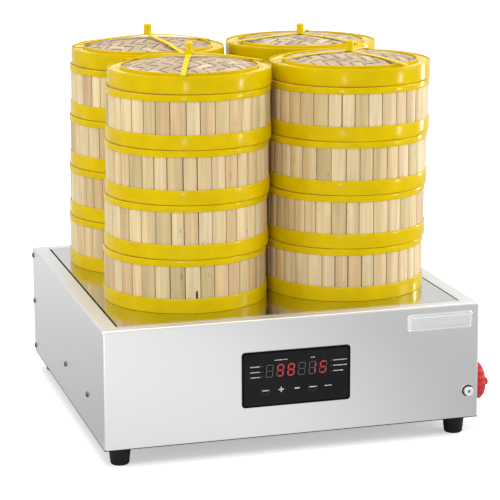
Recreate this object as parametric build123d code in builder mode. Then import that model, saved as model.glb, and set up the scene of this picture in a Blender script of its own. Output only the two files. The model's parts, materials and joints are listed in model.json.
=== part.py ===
from build123d import *
import os
from math import atan2, cos, degrees, pi, radians, sin, sqrt

# Electric dumpling steamer: a steel steam case with four stacks of bamboo baskets on its lid tray.
# Millimetres, +Z up, +X to the right of someone facing the control panel, front face at -Y.
# Here the case stands round the Z axis. Every piece is saved with the middle of the whole part's
# outer box over the origin, which lies on the counter.

os.makedirs("parts", exist_ok=True)

# Case
case_width = 460.0
case_depth = 450.0
case_height = 142.5
sheet = 1.5
bend_radius = 2.6
fit_gap = 0.3
seat_gap = 0.2

# Feet
foot_height = 21.5
foot_top_radius = 13.2
foot_sides = 12
foot_bottom_radius = 11.0
foot_inset_x = 22.0
foot_inset_y = 22.0
washer_radius = 14.5
washer_thickness = 1.5
stud_radius = 3.0
stud_length = 12.0

# Tray that the baskets stand on, flush in the top of the case
tray_rim_side = 19.8
tray_rim_front = 16.2
tray_rim_back = 14.2
tray_gap = 1.5
steam_hole_radius = 48.0
steam_lip_depth = 5.0
steam_lip_wall = 2.0
round_sides = 16

# Water tank under the tray
seal_thickness = 1.0
seal_width = 10.0
tank_wall = 1.2
tank_depth = 76.0
tank_clear = 42.0
tank_flange_lap = 8.0
heater_radius = 4.5
heater_from_side = 58.0
heater_from_end = 63.0
heater_corner = 26.0
heater_lead_x = 30.0
heater_rise = 12.0
probe_radius = 2.4
probe_length = 44.0
probe_x = 110.0
probe_low = 22.0
probe_step = 20.0

# Control panel and what is behind it
panel_x = 0.5
panel_from_bottom = 70.5
panel_width = 133.0
panel_height = 67.0
panel_thickness = 1.2
panel_corner = 4.0
panel_opening_margin = 12.0
display_width = 38.0
display_height = 19.0
display_spacing = 44.0
display_rise = 9.0
board_thickness = 1.6
board_margin = 4.0
board_gap = 17.0
standoff_radius = 2.6
standoff_from_opening = 3.1
relay_width = 18.0
relay_length = 25.0
relay_depth = 14.0
relay_spacing = 30.0

# Bare plate on the front, upper right
plate_from_side = 50.4
plate_from_top = 19.5
plate_width = 82.0
plate_height = 20.8
plate_thickness = 0.9
plate_corner = 3.0

# Drain: a cock in the front right corner, its spout through the front, its wheel on the right side
drain_from_side = 13.5
drain_from_front = 40.0
drain_from_bottom = 34.0
cock_radius = 9.0
cock_length = 32.0
pipe_radius = 5.0
pipe_offset_x = 46.0
pipe_offset_y = 62.0
pipe_bend = 9.0
spout_radius = 5.5
spout_shank_radius = 4.7
spout_bore = 2.0
spout_reach = 6.0
grommet_wall = 1.4
grommet_lip = 0.5
spindle_radius = 3.0
spindle_running = 0.05
spindle_hole_gap = 1.0
wheel_radius = 23.4
wheel_rim = 9.5
wheel_dome = 15.0
wheel_dome_radius = 13.0
wheel_face_share = 0.98
wheel_lobes = 18
wheel_lobe_depth = 1.3
wheel_stand_off = 5.0
wheel_grip_width = 9.0
wheel_grip_length = 26.0
wheel_grip_height = 5.0

# Cord gland at the back
gland_from_side = 80.0
gland_from_bottom = 29.0
gland_radius = 11.0
gland_bore = 4.0
gland_reach = 10.0
gland_thread_radius = 8.0
gland_nut = 5.0

# Vent slots in the rear panel
vent_count = 4
vent_length = 60.0
vent_height = 4.0
vent_pitch = 11.0
vent_from_side = 100.0
rear_flange = 17.0

# Screws
screw_head_radius = 3.1
screw_head = 2.0
screw_radius = 1.6
screw_length = 8.0
screw_sides = 6
rear_screw_from_back = 8.0
rear_screw_edge = 8.7
front_screw_inset = 13.0
tank_screw_y = 3.5
tank_screw_step = 135.0
tank_screw_from_bottom = 41.5

# Baskets
stack_tiers = 4
basket_height = 64.5
basket_radius = 99.3
wall_sides = 16
wall_thickness = 5.0
band_thickness = 1.2
low_band_height = 17.7
top_band_height = 8.4
top_band_inset = 0.3
floor_rise = 4.0
batten_width = 8.0
batten_height = 3.0
batten_spacing = 84.0
floor_slats = 4
floor_slat_gap = 5.0
floor_slat_height = 2.5

# Lids
lid_radius = 98.0
lid_height = 21.0
lid_hoop_width = 14.0
band_proud = 2.0
collar_thickness = 1.6
collar_proud = 2.0
dome_edge_drop = 2.0
dome_thickness = 3.0
dome_mid_share = 0.6
dome_crown_radius = 16.0
strap_width = 5.5
strap_thickness = 1.2
strap_share = 0.45
strap_over_dome = 0.6
strap_shoulder = 1.0
strap_end_inset = 1.2
knob_radius = 5.0
knob_height = 13.5
knob_sides = 10

# Stacks: where the lowest basket stands, how far each tier is pushed along X over the one below,
# how high the woven dome rises, how high the handle stands over its crown, and where its three legs go
stacks = {
    "front_left": {"x": -95.5, "y": -78.5, "lean": 2.1, "rise": 10.5, "arch": 5.5, "legs": (251, 9, 129)},
    "front_right": {"x": 105.5, "y": -80.0, "lean": 2.0, "rise": 9.6, "arch": 1.7, "legs": (297, 57, 177)},
    "back_left": {"x": -97.5, "y": 121.5, "lean": 1.7, "rise": 10.5, "arch": 5.5, "legs": (284, 21, 164)},
    "back_right": {"x": 107.0, "y": 121.0, "lean": 1.7, "rise": 7.7, "arch": 1.6, "legs": (307, 67, 187)},
}

# Levels and faces that follow from those sizes
case_bottom = foot_height + washer_thickness
case_top = case_bottom + case_height
front_y = -case_depth / 2
back_y = case_depth / 2
right_x = case_width / 2
front_screw_y = front_y + front_screw_inset
panel_z = case_bottom + panel_from_bottom
display_z = panel_z + display_rise
plate_x = right_x - plate_from_side
plate_z = case_top - plate_from_top
drain_x = right_x - drain_from_side
drain_y = front_y + drain_from_front
drain_z = case_bottom + drain_from_bottom
gland_x = -right_x + gland_from_side
gland_z = case_bottom + gland_from_bottom
vent_x = right_x - vent_from_side
tank_screw_z = case_bottom + tank_screw_from_bottom
tray_half = right_x - tray_rim_side - tray_gap
tray_length = case_depth - tray_rim_front - tray_rim_back - 2 * tray_gap
tray_y = (tray_rim_front - tray_rim_back) / 2
tray_under = case_top - sheet
seal_under = tray_under - seal_thickness
tank_width = case_width - 2 * tank_clear
tank_length = case_depth - 2 * tank_clear
heater_half_width = tank_width / 2 - heater_from_side
heater_half_length = tank_length / 2 - heater_from_end
tank_floor = seal_under - tank_wall - tank_depth
foot_x = right_x - foot_inset_x
foot_y = back_y - foot_inset_y
board_width = panel_width - 2 * board_margin
board_height = panel_height - 2 * board_margin
board_front = front_y + sheet + board_gap
wall_radius = basket_radius - band_thickness
floor_z = floor_rise + batten_height
cock_back = drain_y + cock_length / 2
cock_front = drain_y - cock_length / 2

# Middle of the outer box: from the left screws to the wheel's grip, and from the spout to the gland
wheel_end = right_x + wheel_stand_off + wheel_dome + wheel_grip_height
origin_x = (wheel_end - right_x - screw_head) / 2
origin_y = (back_y + gland_reach + front_y - spout_reach) / 2


def save(name, solid):
    placed = solid.part.moved(Location((-origin_x, -origin_y, 0)))
    placed.label = name
    export_step(placed, "parts/" + name + ".step")


# A regular outline whose flats and corners lie equally far inside and outside the true radius
def rounded(radius, sides=round_sides, mode=Mode.ADD):
    turn = 180.0 / sides
    corner = 2 * radius / (1 + cos(pi / sides))
    return RegularPolygon(corner, sides, rotation=turn, mode=mode)


def flat_radius(radius, sides=round_sides):
    return 2 * radius / (1 + cos(pi / sides)) * cos(pi / sides)


def side_screws():
    places = []
    for z in (case_bottom + rear_screw_edge, (case_bottom + case_top) / 2, case_top - rear_screw_edge):
        places.append((back_y - rear_screw_from_back, z))
    places.append((tank_screw_y, tank_screw_z))
    places.append((tank_screw_y - tank_screw_step, tank_screw_z))
    return places


def foot_places():
    return [(x, y) for x in (-foot_x, foot_x) for y in (-foot_y, foot_y)]


def make_body_shell():
    with BuildPart() as body_shell:
        with BuildSketch(Plane.XY.offset(case_bottom)):
            Rectangle(case_width, case_depth)
        extrude(amount=case_height)
        fillet(body_shell.edges().filter_by(Axis.Z).group_by(Axis.Y)[0], bend_radius)
        lid_edges = body_shell.faces().sort_by(Axis.Z)[-1].edges()
        fillet(lid_edges.sort_by(Axis.Y)[:-1], bend_radius)
        # Open below and behind
        inside_width = case_width - 2 * sheet
        inside_depth = case_depth - sheet
        with BuildSketch(Plane.XY.offset(case_bottom)):
            with Locations((0, sheet / 2)):
                Rectangle(inside_width, inside_depth)
        extrude(amount=case_height - sheet, mode=Mode.SUBTRACT)
        # Opening for the tray
        with BuildSketch(Plane.XY.offset(case_top)):
            with Locations((0, tray_y)):
                Rectangle(2 * (tray_half + tray_gap), tray_length + 2 * tray_gap)
        extrude(amount=-2 * sheet, mode=Mode.SUBTRACT)
        # Opening behind the control panel, and the hole for the spout
        with BuildSketch(Plane.XZ.offset(-front_y)):
            with Locations((panel_x, panel_z)):
                Rectangle(panel_width - 2 * panel_opening_margin, panel_height - 2 * panel_opening_margin)
            with Locations((drain_x, drain_z)):
                RegularPolygon(spout_radius + grommet_wall, round_sides)
        extrude(amount=-2 * sheet, mode=Mode.SUBTRACT)
        # Hole for the wheel's spindle
        with BuildSketch(Plane.YZ.offset(right_x)):
            with Locations((drain_y, drain_z)):
                RegularPolygon(spindle_radius + spindle_hole_gap, round_sides, major_radius=False)
        extrude(amount=-2 * sheet, mode=Mode.SUBTRACT)
        # Screw holes in both sides
        with BuildSketch(Plane.YZ.offset(-right_x)):
            with Locations(*side_screws()):
                RegularPolygon(screw_radius + fit_gap, screw_sides)
        extrude(amount=case_width, mode=Mode.SUBTRACT)
    save("body_shell", body_shell)


def make_rear_panel():
    half = right_x - sheet - fit_gap
    low = case_bottom + sheet + fit_gap
    height = case_top - sheet - fit_gap - low
    with BuildPart() as rear_panel:
        with BuildSketch(Plane.XY.offset(low)):
            with Locations((0, back_y - rear_flange / 2)):
                Rectangle(2 * half, rear_flange)
            with Locations((0, back_y - sheet - rear_flange / 2)):
                Rectangle(2 * (half - sheet), rear_flange, mode=Mode.SUBTRACT)
        extrude(amount=height)
        with BuildSketch(Plane.XZ.offset(-back_y)):
            for x in (-vent_x, vent_x):
                with Locations((x, panel_z)):
                    with GridLocations(0, vent_pitch, 1, vent_count):
                        Rectangle(vent_length, vent_height)
            with Locations((gland_x, gland_z)):
                RegularPolygon(gland_thread_radius + fit_gap, round_sides)
        extrude(amount=2 * sheet, mode=Mode.SUBTRACT)
        rear_holes = [place for place in side_screws() if place[0] > back_y - rear_flange]
        with BuildSketch(Plane.YZ.offset(-right_x)):
            with Locations(*rear_holes):
                RegularPolygon(screw_radius + fit_gap, screw_sides)
        extrude(amount=case_width, mode=Mode.SUBTRACT)
    save("rear_panel", rear_panel)


def make_base_plate():
    with BuildPart() as base_plate:
        with BuildSketch(Plane.XY.offset(case_bottom)):
            with Locations((0, (sheet + fit_gap) / 2)):
                Rectangle(case_width - 2 * (sheet + fit_gap), case_depth - sheet - fit_gap)
            with Locations(*foot_places()):
                RegularPolygon(stud_radius + fit_gap, 8, mode=Mode.SUBTRACT)
            with Locations((0, front_screw_y)):
                RegularPolygon(screw_radius + fit_gap, screw_sides, mode=Mode.SUBTRACT)
        extrude(amount=sheet)
    save("base_plate", base_plate)


def make_feet():
    with BuildPart() as feet:
        for x, y in foot_places():
            with BuildSketch(Plane(origin=(x, y, 0))):
                rounded(foot_bottom_radius, foot_sides)
            with BuildSketch(Plane(origin=(x, y, foot_height))):
                rounded(foot_top_radius, foot_sides)
            loft(ruled=True)
    save("feet", feet)


# Each stud is one piece with its washer and stands up through the base plate
def make_foot_studs():
    with BuildPart() as foot_studs:
        for x, y in foot_places():
            with BuildSketch(Plane(origin=(x, y, foot_height))):
                rounded(washer_radius, foot_sides)
            extrude(amount=washer_thickness)
            with BuildSketch(Plane(origin=(x, y, foot_height + washer_thickness))):
                RegularPolygon(stud_radius, 8)
            extrude(amount=stud_length)
    save("foot_studs", foot_studs)


# The plate has a turned-down lip round each steam hole
def make_top_tray():
    with BuildPart() as top_tray:
        with BuildSketch(Plane.XY.offset(tray_under)):
            with Locations((0, tray_y)):
                Rectangle(2 * tray_half, tray_length)
        extrude(amount=sheet)
        for place in stacks.values():
            with BuildSketch(Plane(origin=(place["x"], place["y"], tray_under - steam_lip_depth))):
                rounded(steam_hole_radius + steam_lip_wall)
            extrude(amount=steam_lip_depth)
        for place in stacks.values():
            with BuildSketch(Plane(origin=(place["x"], place["y"], tray_under - steam_lip_depth))):
                rounded(steam_hole_radius)
            extrude(amount=steam_lip_depth + 2 * sheet, mode=Mode.SUBTRACT)
    save("top_tray", top_tray)


# A frame under the tray's edge and the case rim, and a ring round the spout
def make_seals():
    with BuildPart() as seals:
        with BuildSketch(Plane.XY.offset(seal_under)):
            with Locations((0, tray_y)):
                Rectangle(2 * tray_half + seal_width, tray_length + seal_width)
                Rectangle(2 * tray_half - seal_width, tray_length - seal_width, mode=Mode.SUBTRACT)
        extrude(amount=seal_thickness)
        with BuildSketch(Plane.XZ.offset(-front_y - sheet)):
            with Locations((drain_x, drain_z)):
                RegularPolygon(spout_radius + grommet_wall, round_sides)
                RegularPolygon(spout_shank_radius, round_sides, mode=Mode.SUBTRACT)
        extrude(amount=sheet + grommet_lip)
    save("seals", seals)


# The tank hangs by its flange, which reaches out under the case rim and carries the seal
def make_water_tank():
    flange_under = seal_under - tank_wall
    flange_reach = tray_gap + tank_flange_lap
    with BuildPart() as water_tank:
        with BuildSketch(Plane.XY.offset(flange_under)):
            with Locations((0, tray_y)):
                Rectangle(2 * (tray_half + flange_reach), tray_length + 2 * flange_reach)
        extrude(amount=tank_wall)
        with BuildSketch(Plane.XY.offset(tank_floor)):
            with Locations((0, tray_y)):
                Rectangle(tank_width, tank_length)
        extrude(amount=tank_depth)
        with BuildSketch(Plane.XY.offset(tank_floor + tank_wall)):
            with Locations((0, tray_y)):
                Rectangle(tank_width - 2 * tank_wall, tank_length - 2 * tank_wall)
        extrude(amount=tank_depth + tank_wall, mode=Mode.SUBTRACT)
        # Outlet to the drain pipe
        with BuildSketch(Plane.XY.offset(tank_floor)):
            with Locations((drain_x - pipe_offset_x, drain_y + pipe_offset_y)):
                RegularPolygon(pipe_radius + fit_gap, 8)
        extrude(amount=2 * tank_wall, both=True, mode=Mode.SUBTRACT)
        # Holes in the back wall for the heater's leads and the level probes
        with BuildSketch(Plane.XZ.offset(-tray_y - tank_length / 2)):
            with Locations(*heater_leads(), *probe_places()):
                RegularPolygon(heater_radius + fit_gap, 8, major_radius=False)
        extrude(amount=2 * tank_wall, both=True, mode=Mode.SUBTRACT)
    save("water_tank", water_tank)


def heater_leads():
    z = tank_floor + tank_wall + heater_rise
    return [(-heater_lead_x, z), (heater_lead_x, z)]


def probe_places():
    z = tank_floor + tank_wall + probe_low
    return [(-probe_x, z), (-probe_x, z + probe_step)]


# One tube: in through the tank's back wall, round the tank floor and out again
def make_heating_element():
    z = tank_floor + tank_wall + heater_rise
    out = tray_y + tank_length / 2 + 3 * heater_radius
    far = tray_y + heater_half_length
    near = tray_y - heater_half_length
    cut = heater_corner
    half = [
        (heater_lead_x, out),
        (heater_lead_x, far + cut),
        (heater_lead_x + cut, far),
        (heater_half_width - cut, far),
        (heater_half_width, far - cut),
        (heater_half_width, near + cut),
        (heater_half_width - cut, near),
    ]
    route = [(x, y, z) for x, y in half] + [(-x, y, z) for x, y in reversed(half)]
    with BuildPart() as heating_element:
        with BuildLine() as tube:
            Polyline(*route)
        with BuildSketch(Plane(origin=route[0], z_dir=(0, -1, 0))):
            RegularPolygon(heater_radius, 6)
        sweep(path=tube.wires()[0], transition=Transition.RIGHT)
    save("heating_element", heating_element)


def make_level_probes():
    wall_y = tray_y + tank_length / 2
    with BuildPart() as level_probes:
        for x, z in probe_places():
            with BuildSketch(Plane.XZ.offset(-wall_y - 2 * probe_radius)):
                with Locations((x, z)):
                    RegularPolygon(probe_radius, 6)
            extrude(amount=probe_length)
            with BuildSketch(Plane.XZ.offset(-wall_y - 2 * probe_radius)):
                with Locations((x, z)):
                    RegularPolygon(heater_radius, 8)
            extrude(amount=2 * probe_radius + 2 * tank_wall)
    save("level_probes", level_probes)


# From the tank floor down, across and forward into the back of the cock
def make_drain_pipe():
    x = drain_x - pipe_offset_x
    y = drain_y + pipe_offset_y
    bend = pipe_bend
    route = [
        (x, y, tank_floor + tank_wall),
        (x, y, drain_z + bend),
        (x + bend, y, drain_z),
        (drain_x - bend, y, drain_z),
        (drain_x, y - bend, drain_z),
        (drain_x, cock_back + fit_gap, drain_z),
    ]
    with BuildPart() as drain_pipe:
        with BuildLine() as run:
            Polyline(*route)
        with BuildSketch(Plane(origin=route[0], z_dir=(0, 0, -1))):
            RegularPolygon(pipe_radius, 8)
        sweep(path=run.wires()[0], transition=Transition.RIGHT)
    save("drain_pipe", drain_pipe)


def make_drain_cock():
    with BuildPart() as drain_cock:
        with BuildSketch(Plane.XZ.offset(-cock_back)):
            with Locations((drain_x, drain_z)):
                RegularPolygon(cock_radius, 8, major_radius=False, rotation=22.5)
        extrude(amount=cock_length)
        with BuildSketch(Plane.XZ.offset(-cock_back)):
            with Locations((drain_x, drain_z)):
                RegularPolygon(spout_bore, 8)
        extrude(amount=cock_length, mode=Mode.SUBTRACT)
        # Seat of the wheel's spindle
        with BuildSketch(Plane.YZ.offset(drain_x + cock_radius)):
            with Locations((drain_y, drain_z)):
                Circle(spindle_radius + spindle_running)
        extrude(amount=-cock_radius, mode=Mode.SUBTRACT)
    save("drain_cock", drain_cock)


# A thin shank from the cock through the seal ring, and a thicker end for a hose
def make_drain_spout():
    shoulder = front_y - grommet_lip
    back = cock_front - fit_gap
    with BuildPart() as drain_spout:
        with BuildSketch(Plane.XZ.offset(-back)):
            with Locations((drain_x, drain_z)):
                RegularPolygon(spout_shank_radius, round_sides)
        extrude(amount=back - shoulder)
        with BuildSketch(Plane.XZ.offset(-shoulder)):
            with Locations((drain_x, drain_z)):
                Circle(spout_radius)
        extrude(amount=spout_reach - grommet_lip)
        with BuildSketch(Plane.XZ.offset(-back)):
            with Locations((drain_x, drain_z)):
                Circle(spout_bore)
        extrude(amount=back - shoulder + spout_reach, mode=Mode.SUBTRACT)
    save("drain_spout", drain_spout)


# Ribbed rim, domed face with a grip across it, and a spindle into the cock
def make_drain_wheel():
    back = right_x + wheel_stand_off
    with BuildPart() as drain_wheel:
        with BuildSketch(Plane.YZ.offset(back)):
            with Locations((drain_y, drain_z)):
                RegularPolygon(wheel_radius, wheel_lobes * 2)
                with PolarLocations(wheel_radius, wheel_lobes):
                    RegularPolygon(wheel_lobe_depth, 4, mode=Mode.SUBTRACT)
        extrude(amount=wheel_rim)
        face_radius = wheel_radius - 2 * wheel_lobe_depth
        face_depth = wheel_dome - wheel_rim
        with BuildSketch(Plane.YZ.offset(back + wheel_rim)):
            with Locations((drain_y, drain_z)):
                rounded(face_radius, wheel_lobes)
        extrude(amount=face_depth)
        face = drain_wheel.faces().sort_by(Axis.X)[-1]
        slope_width = face_radius - wheel_dome_radius
        chamfer(face.edges(), length=slope_width, length2=face_depth * wheel_face_share, reference=face)
        with BuildSketch(Plane.YZ.offset(back + wheel_dome)):
            with Locations((drain_y, drain_z)):
                Rectangle(wheel_grip_length, wheel_grip_width)
        extrude(amount=-(wheel_dome - wheel_rim))
        with BuildSketch(Plane.YZ.offset(back + wheel_dome)):
            with Locations((drain_y, drain_z)):
                Rectangle(wheel_grip_length, wheel_grip_width)
        extrude(amount=wheel_grip_height)
        with BuildSketch(Plane.YZ.offset(drain_x + fit_gap)):
            with Locations((drain_y, drain_z)):
                Circle(spindle_radius)
        extrude(amount=back - drain_x - fit_gap)
    save("drain_wheel", drain_wheel)


def make_cable_gland():
    with BuildPart() as cable_gland:
        with BuildSketch(Plane.XZ.offset(-back_y)):
            with Locations((gland_x, gland_z)):
                RegularPolygon(gland_radius, 6)
        extrude(amount=-gland_reach)
        with BuildSketch(Plane.XZ.offset(-back_y)):
            with Locations((gland_x, gland_z)):
                RegularPolygon(gland_thread_radius, round_sides)
        extrude(amount=sheet + fit_gap)
        with BuildSketch(Plane.XZ.offset(-back_y + sheet + fit_gap)):
            with Locations((gland_x, gland_z)):
                RegularPolygon(gland_radius, 6)
        extrude(amount=gland_nut)
        with BuildSketch(Plane.XZ.offset(-back_y - gland_reach)):
            with Locations((gland_x, gland_z)):
                Circle(gland_bore)
        extrude(amount=gland_reach + sheet + fit_gap + gland_nut, mode=Mode.SUBTRACT)
    save("cable_gland", cable_gland)


def display_places():
    return [(panel_x + side * display_spacing / 2, display_z) for side in (-1, 1)]


def make_control_panel():
    with BuildPart() as control_panel:
        with BuildSketch(Plane.XZ.offset(-front_y)):
            with Locations((panel_x, panel_z)):
                RectangleRounded(panel_width, panel_height, panel_corner)
            with Locations(*display_places()):
                Rectangle(display_width + 2 * fit_gap, display_height + 2 * fit_gap, mode=Mode.SUBTRACT)
        extrude(amount=panel_thickness)
    save("control_panel", control_panel)


# Two three-digit modules that stand on the board and fill the panel's windows
def make_display_modules():
    depth = board_front - (front_y - panel_thickness + fit_gap)
    with BuildPart() as display_modules:
        with BuildSketch(Plane.XZ.offset(-board_front)):
            with Locations(*display_places()):
                Rectangle(display_width, display_height)
        extrude(amount=depth)
    save("display_modules", display_modules)


# The board with its relays on the back, on four posts from the case front
def make_control_board():
    post_x = panel_width / 2 - panel_opening_margin + standoff_from_opening
    post_z = panel_height / 2 - panel_opening_margin + standoff_from_opening
    with BuildPart() as control_board:
        with BuildSketch(Plane.XZ.offset(-board_front)):
            with Locations((panel_x, panel_z)):
                Rectangle(board_width, board_height)
        extrude(amount=-board_thickness)
        with BuildSketch(Plane.XZ.offset(-board_front + seat_gap)):
            with Locations((panel_x, panel_z)):
                with GridLocations(2 * post_x, 2 * post_z, 2, 2):
                    RegularPolygon(standoff_radius, 6)
        extrude(amount=board_gap - seat_gap)
        with BuildSketch(Plane.XZ.offset(-board_front - board_thickness - seat_gap)):
            with Locations((panel_x, panel_z)):
                with GridLocations(relay_spacing, 0, 3, 1):
                    Rectangle(relay_width, relay_length)
        extrude(amount=-relay_depth)
    save("control_board", control_board)


def make_name_plate():
    with BuildPart() as name_plate:
        with BuildSketch(Plane.XZ.offset(-front_y)):
            with Locations((plate_x, plate_z)):
                RectangleRounded(plate_width, plate_height, plate_corner)
        extrude(amount=plate_thickness)
    save("name_plate", name_plate)


# Ten in the sides and one up through the base plate's front edge
def make_case_screws():
    with BuildPart() as case_screws:
        for side in (-1, 1):
            with BuildSketch(Plane.YZ.offset(side * right_x)):
                with Locations(*side_screws()):
                    RegularPolygon(screw_head_radius, screw_sides)
            extrude(amount=side * screw_head)
            with BuildSketch(Plane.YZ.offset(side * right_x)):
                with Locations(*side_screws()):
                    RegularPolygon(screw_radius, screw_sides)
            extrude(amount=-side * screw_length)
        with BuildSketch(Plane.XY.offset(case_bottom)):
            with Locations((0, front_screw_y)):
                RegularPolygon(screw_head_radius, screw_sides)
        extrude(amount=-screw_head)
        with BuildSketch(Plane.XY.offset(case_bottom)):
            with Locations((0, front_screw_y)):
                RegularPolygon(screw_radius, screw_sides)
        extrude(amount=screw_length)
    save("case_screws", case_screws)


def ring(plane, outer, inner, height):
    with BuildSketch(plane) as profile:
        rounded(outer, wall_sides)
        rounded(inner, wall_sides, mode=Mode.SUBTRACT)
    extrude(profile.sketch, amount=height)


# Wall of upright bamboo slats, and a floor of slats fixed on two battens
def make_basket(name, x, y, z):
    inner_flat = flat_radius(wall_radius - wall_thickness, wall_sides)
    with BuildPart() as basket:
        ring(Plane(origin=(x, y, z)), wall_radius, wall_radius - wall_thickness, basket_height)
        for side in (-1, 1):
            reach = sqrt(inner_flat**2 - (batten_spacing / 2 + batten_width / 2) ** 2) - seat_gap
            with BuildSketch(Plane(origin=(x, y + side * batten_spacing / 2, z + floor_rise))):
                Rectangle(2 * reach, batten_width)
            extrude(amount=batten_height)
        span = 2 * (inner_flat - wall_thickness)
        width = (span - (floor_slats - 1) * floor_slat_gap) / floor_slats
        for index in range(floor_slats):
            middle = (index - (floor_slats - 1) / 2) * (width + floor_slat_gap)
            reach = sqrt(inner_flat**2 - (abs(middle) + width / 2) ** 2) - seat_gap
            with BuildSketch(Plane(origin=(x + middle, y, z + floor_z))):
                Rectangle(width, 2 * reach)
            extrude(amount=floor_slat_height)
    save(name, basket)


def make_basket_bands(name, x, y, z):
    with BuildPart() as bands:
        ring(Plane(origin=(x, y, z)), basket_radius, wall_radius, low_band_height)
        top = z + basket_height - top_band_height
        ring(Plane(origin=(x, y, top)), basket_radius - top_band_inset, wall_radius, top_band_height)
    save(name, bands)


# A low frustum between two levels, given as radius and height; its sides stay flat
def frustum(x, y, low, high, mode=Mode.ADD):
    flat = cos(pi / wall_sides) * 2 / (1 + cos(pi / wall_sides))
    slope = degrees(atan2((low[0] - high[0]) * flat, high[1] - low[1]))
    with BuildSketch(Plane(origin=(x, y, low[1]))) as profile:
        rounded(low[0], wall_sides)
    extrude(profile.sketch, amount=high[1] - low[1], taper=slope, mode=mode)


# Edge, shoulder and crown of the dome, each a radius and a height
def dome_levels(z, rise):
    reach = lid_radius - band_thickness - lid_hoop_width
    edge = z + lid_height - dome_edge_drop
    middle = (dome_mid_share * reach, edge + rise * (1 - dome_mid_share**2))
    return (reach, edge), middle, (dome_crown_radius, edge + rise)


# Bamboo hoop with a shallow woven dome let into it, hollow below
def make_lid_cap(name, x, y, z, rise):
    edge, middle, crown = dome_levels(z, rise)
    with BuildPart() as lid_cap:
        with BuildSketch(Plane(origin=(x, y, z))):
            rounded(lid_radius - band_thickness, wall_sides)
        extrude(amount=lid_height - band_proud)
        with BuildSketch(Plane(origin=(x, y, edge[1]))):
            rounded(edge[0], wall_sides)
        extrude(amount=lid_height, mode=Mode.SUBTRACT)
        frustum(x, y, edge, middle)
        frustum(x, y, middle, crown)
        # The hollow follows the dome, one strip's thickness below it
        under = [(radius, height - dome_thickness) for radius, height in (edge, middle, crown)]
        with BuildSketch(Plane(origin=(x, y, z))):
            rounded(edge[0], wall_sides)
        extrude(amount=under[0][1] - z, mode=Mode.SUBTRACT)
        frustum(x, y, under[0], under[1], mode=Mode.SUBTRACT)
        frustum(x, y, under[1], under[2], mode=Mode.SUBTRACT)
    save(name, lid_cap)


# One leg of the handle, from the knob's foot over the collar to the outer band
def strap_leg(x, y, angle, points):
    out = Plane(origin=(x, y, 0), x_dir=(cos(angle), sin(angle), 0), z_dir=(sin(angle), -cos(angle), 0))
    over = [(px, pz + strap_thickness) for px, pz in reversed(points)]
    with BuildSketch(out) as profile:
        Polygon(*points, *over, align=None)
    extrude(profile.sketch, amount=strap_width / 2, both=True)


# Outer band, collar round the dome, three-legged handle and the knob on it
def make_lid_trim(name, x, y, z, place):
    top = z + lid_height
    hoop_outer = lid_radius - band_thickness
    collar_outer = hoop_outer - lid_hoop_width - fit_gap
    collar_inner = collar_outer - collar_thickness
    edge, middle, crown = dome_levels(z, place["rise"])
    dome_slope = (middle[1] - edge[1]) / (edge[0] - middle[0])
    collar_base = edge[1] + dome_slope * (edge[0] - collar_inner + fit_gap) + fit_gap
    collar_top = top + collar_proud
    foot = crown[1] + place["arch"]
    rim = hoop_outer - strap_end_inset
    shoulder = collar_outer + strap_shoulder
    bend = shoulder * dome_mid_share
    lift = max(foot + (collar_top - foot) * strap_share, middle[1] + strap_over_dome)
    leg = [(0, foot), (bend, lift), (shoulder, collar_top + seat_gap), (rim, top + seat_gap)]
    with BuildPart() as lid_trim:
        ring(Plane(origin=(x, y, z)), lid_radius, hoop_outer, lid_height)
        ring(Plane(origin=(x, y, collar_base)), collar_outer, collar_inner, collar_top - collar_base)
        for angle in place["legs"]:
            strap_leg(x, y, radians(angle), leg)
        with BuildSketch(Plane(origin=(x, y, foot))):
            rounded(knob_radius, knob_sides)
        extrude(amount=knob_height)
    save(name, lid_trim)


make_body_shell()
make_rear_panel()
make_base_plate()
make_feet()
make_foot_studs()
make_top_tray()
make_seals()
make_water_tank()
make_heating_element()
make_level_probes()
make_drain_pipe()
make_drain_cock()
make_drain_spout()
make_drain_wheel()
make_cable_gland()
make_control_panel()
make_display_modules()
make_control_board()
make_name_plate()
make_case_screws()

for stack, place in stacks.items():
    for tier in range(stack_tiers):
        tier_x = place["x"] + tier * place["lean"]
        tier_z = case_top + tier * basket_height
        tier_name = f"basket_{stack}_{tier + 1}"
        make_basket(tier_name, tier_x, place["y"], tier_z)
        make_basket_bands(tier_name + "_bands", tier_x, place["y"], tier_z)
    lid_x = place["x"] + stack_tiers * place["lean"]
    lid_z = case_top + stack_tiers * basket_height
    make_lid_cap("lid_" + stack, lid_x, place["y"], lid_z, place["rise"])
    make_lid_trim("lid_" + stack + "_trim", lid_x, place["y"], lid_z, place)
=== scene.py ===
import json
from math import cos, pi, radians, sin

import bmesh
import bpy
import numpy as np
from mathutils import Matrix, Vector

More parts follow.
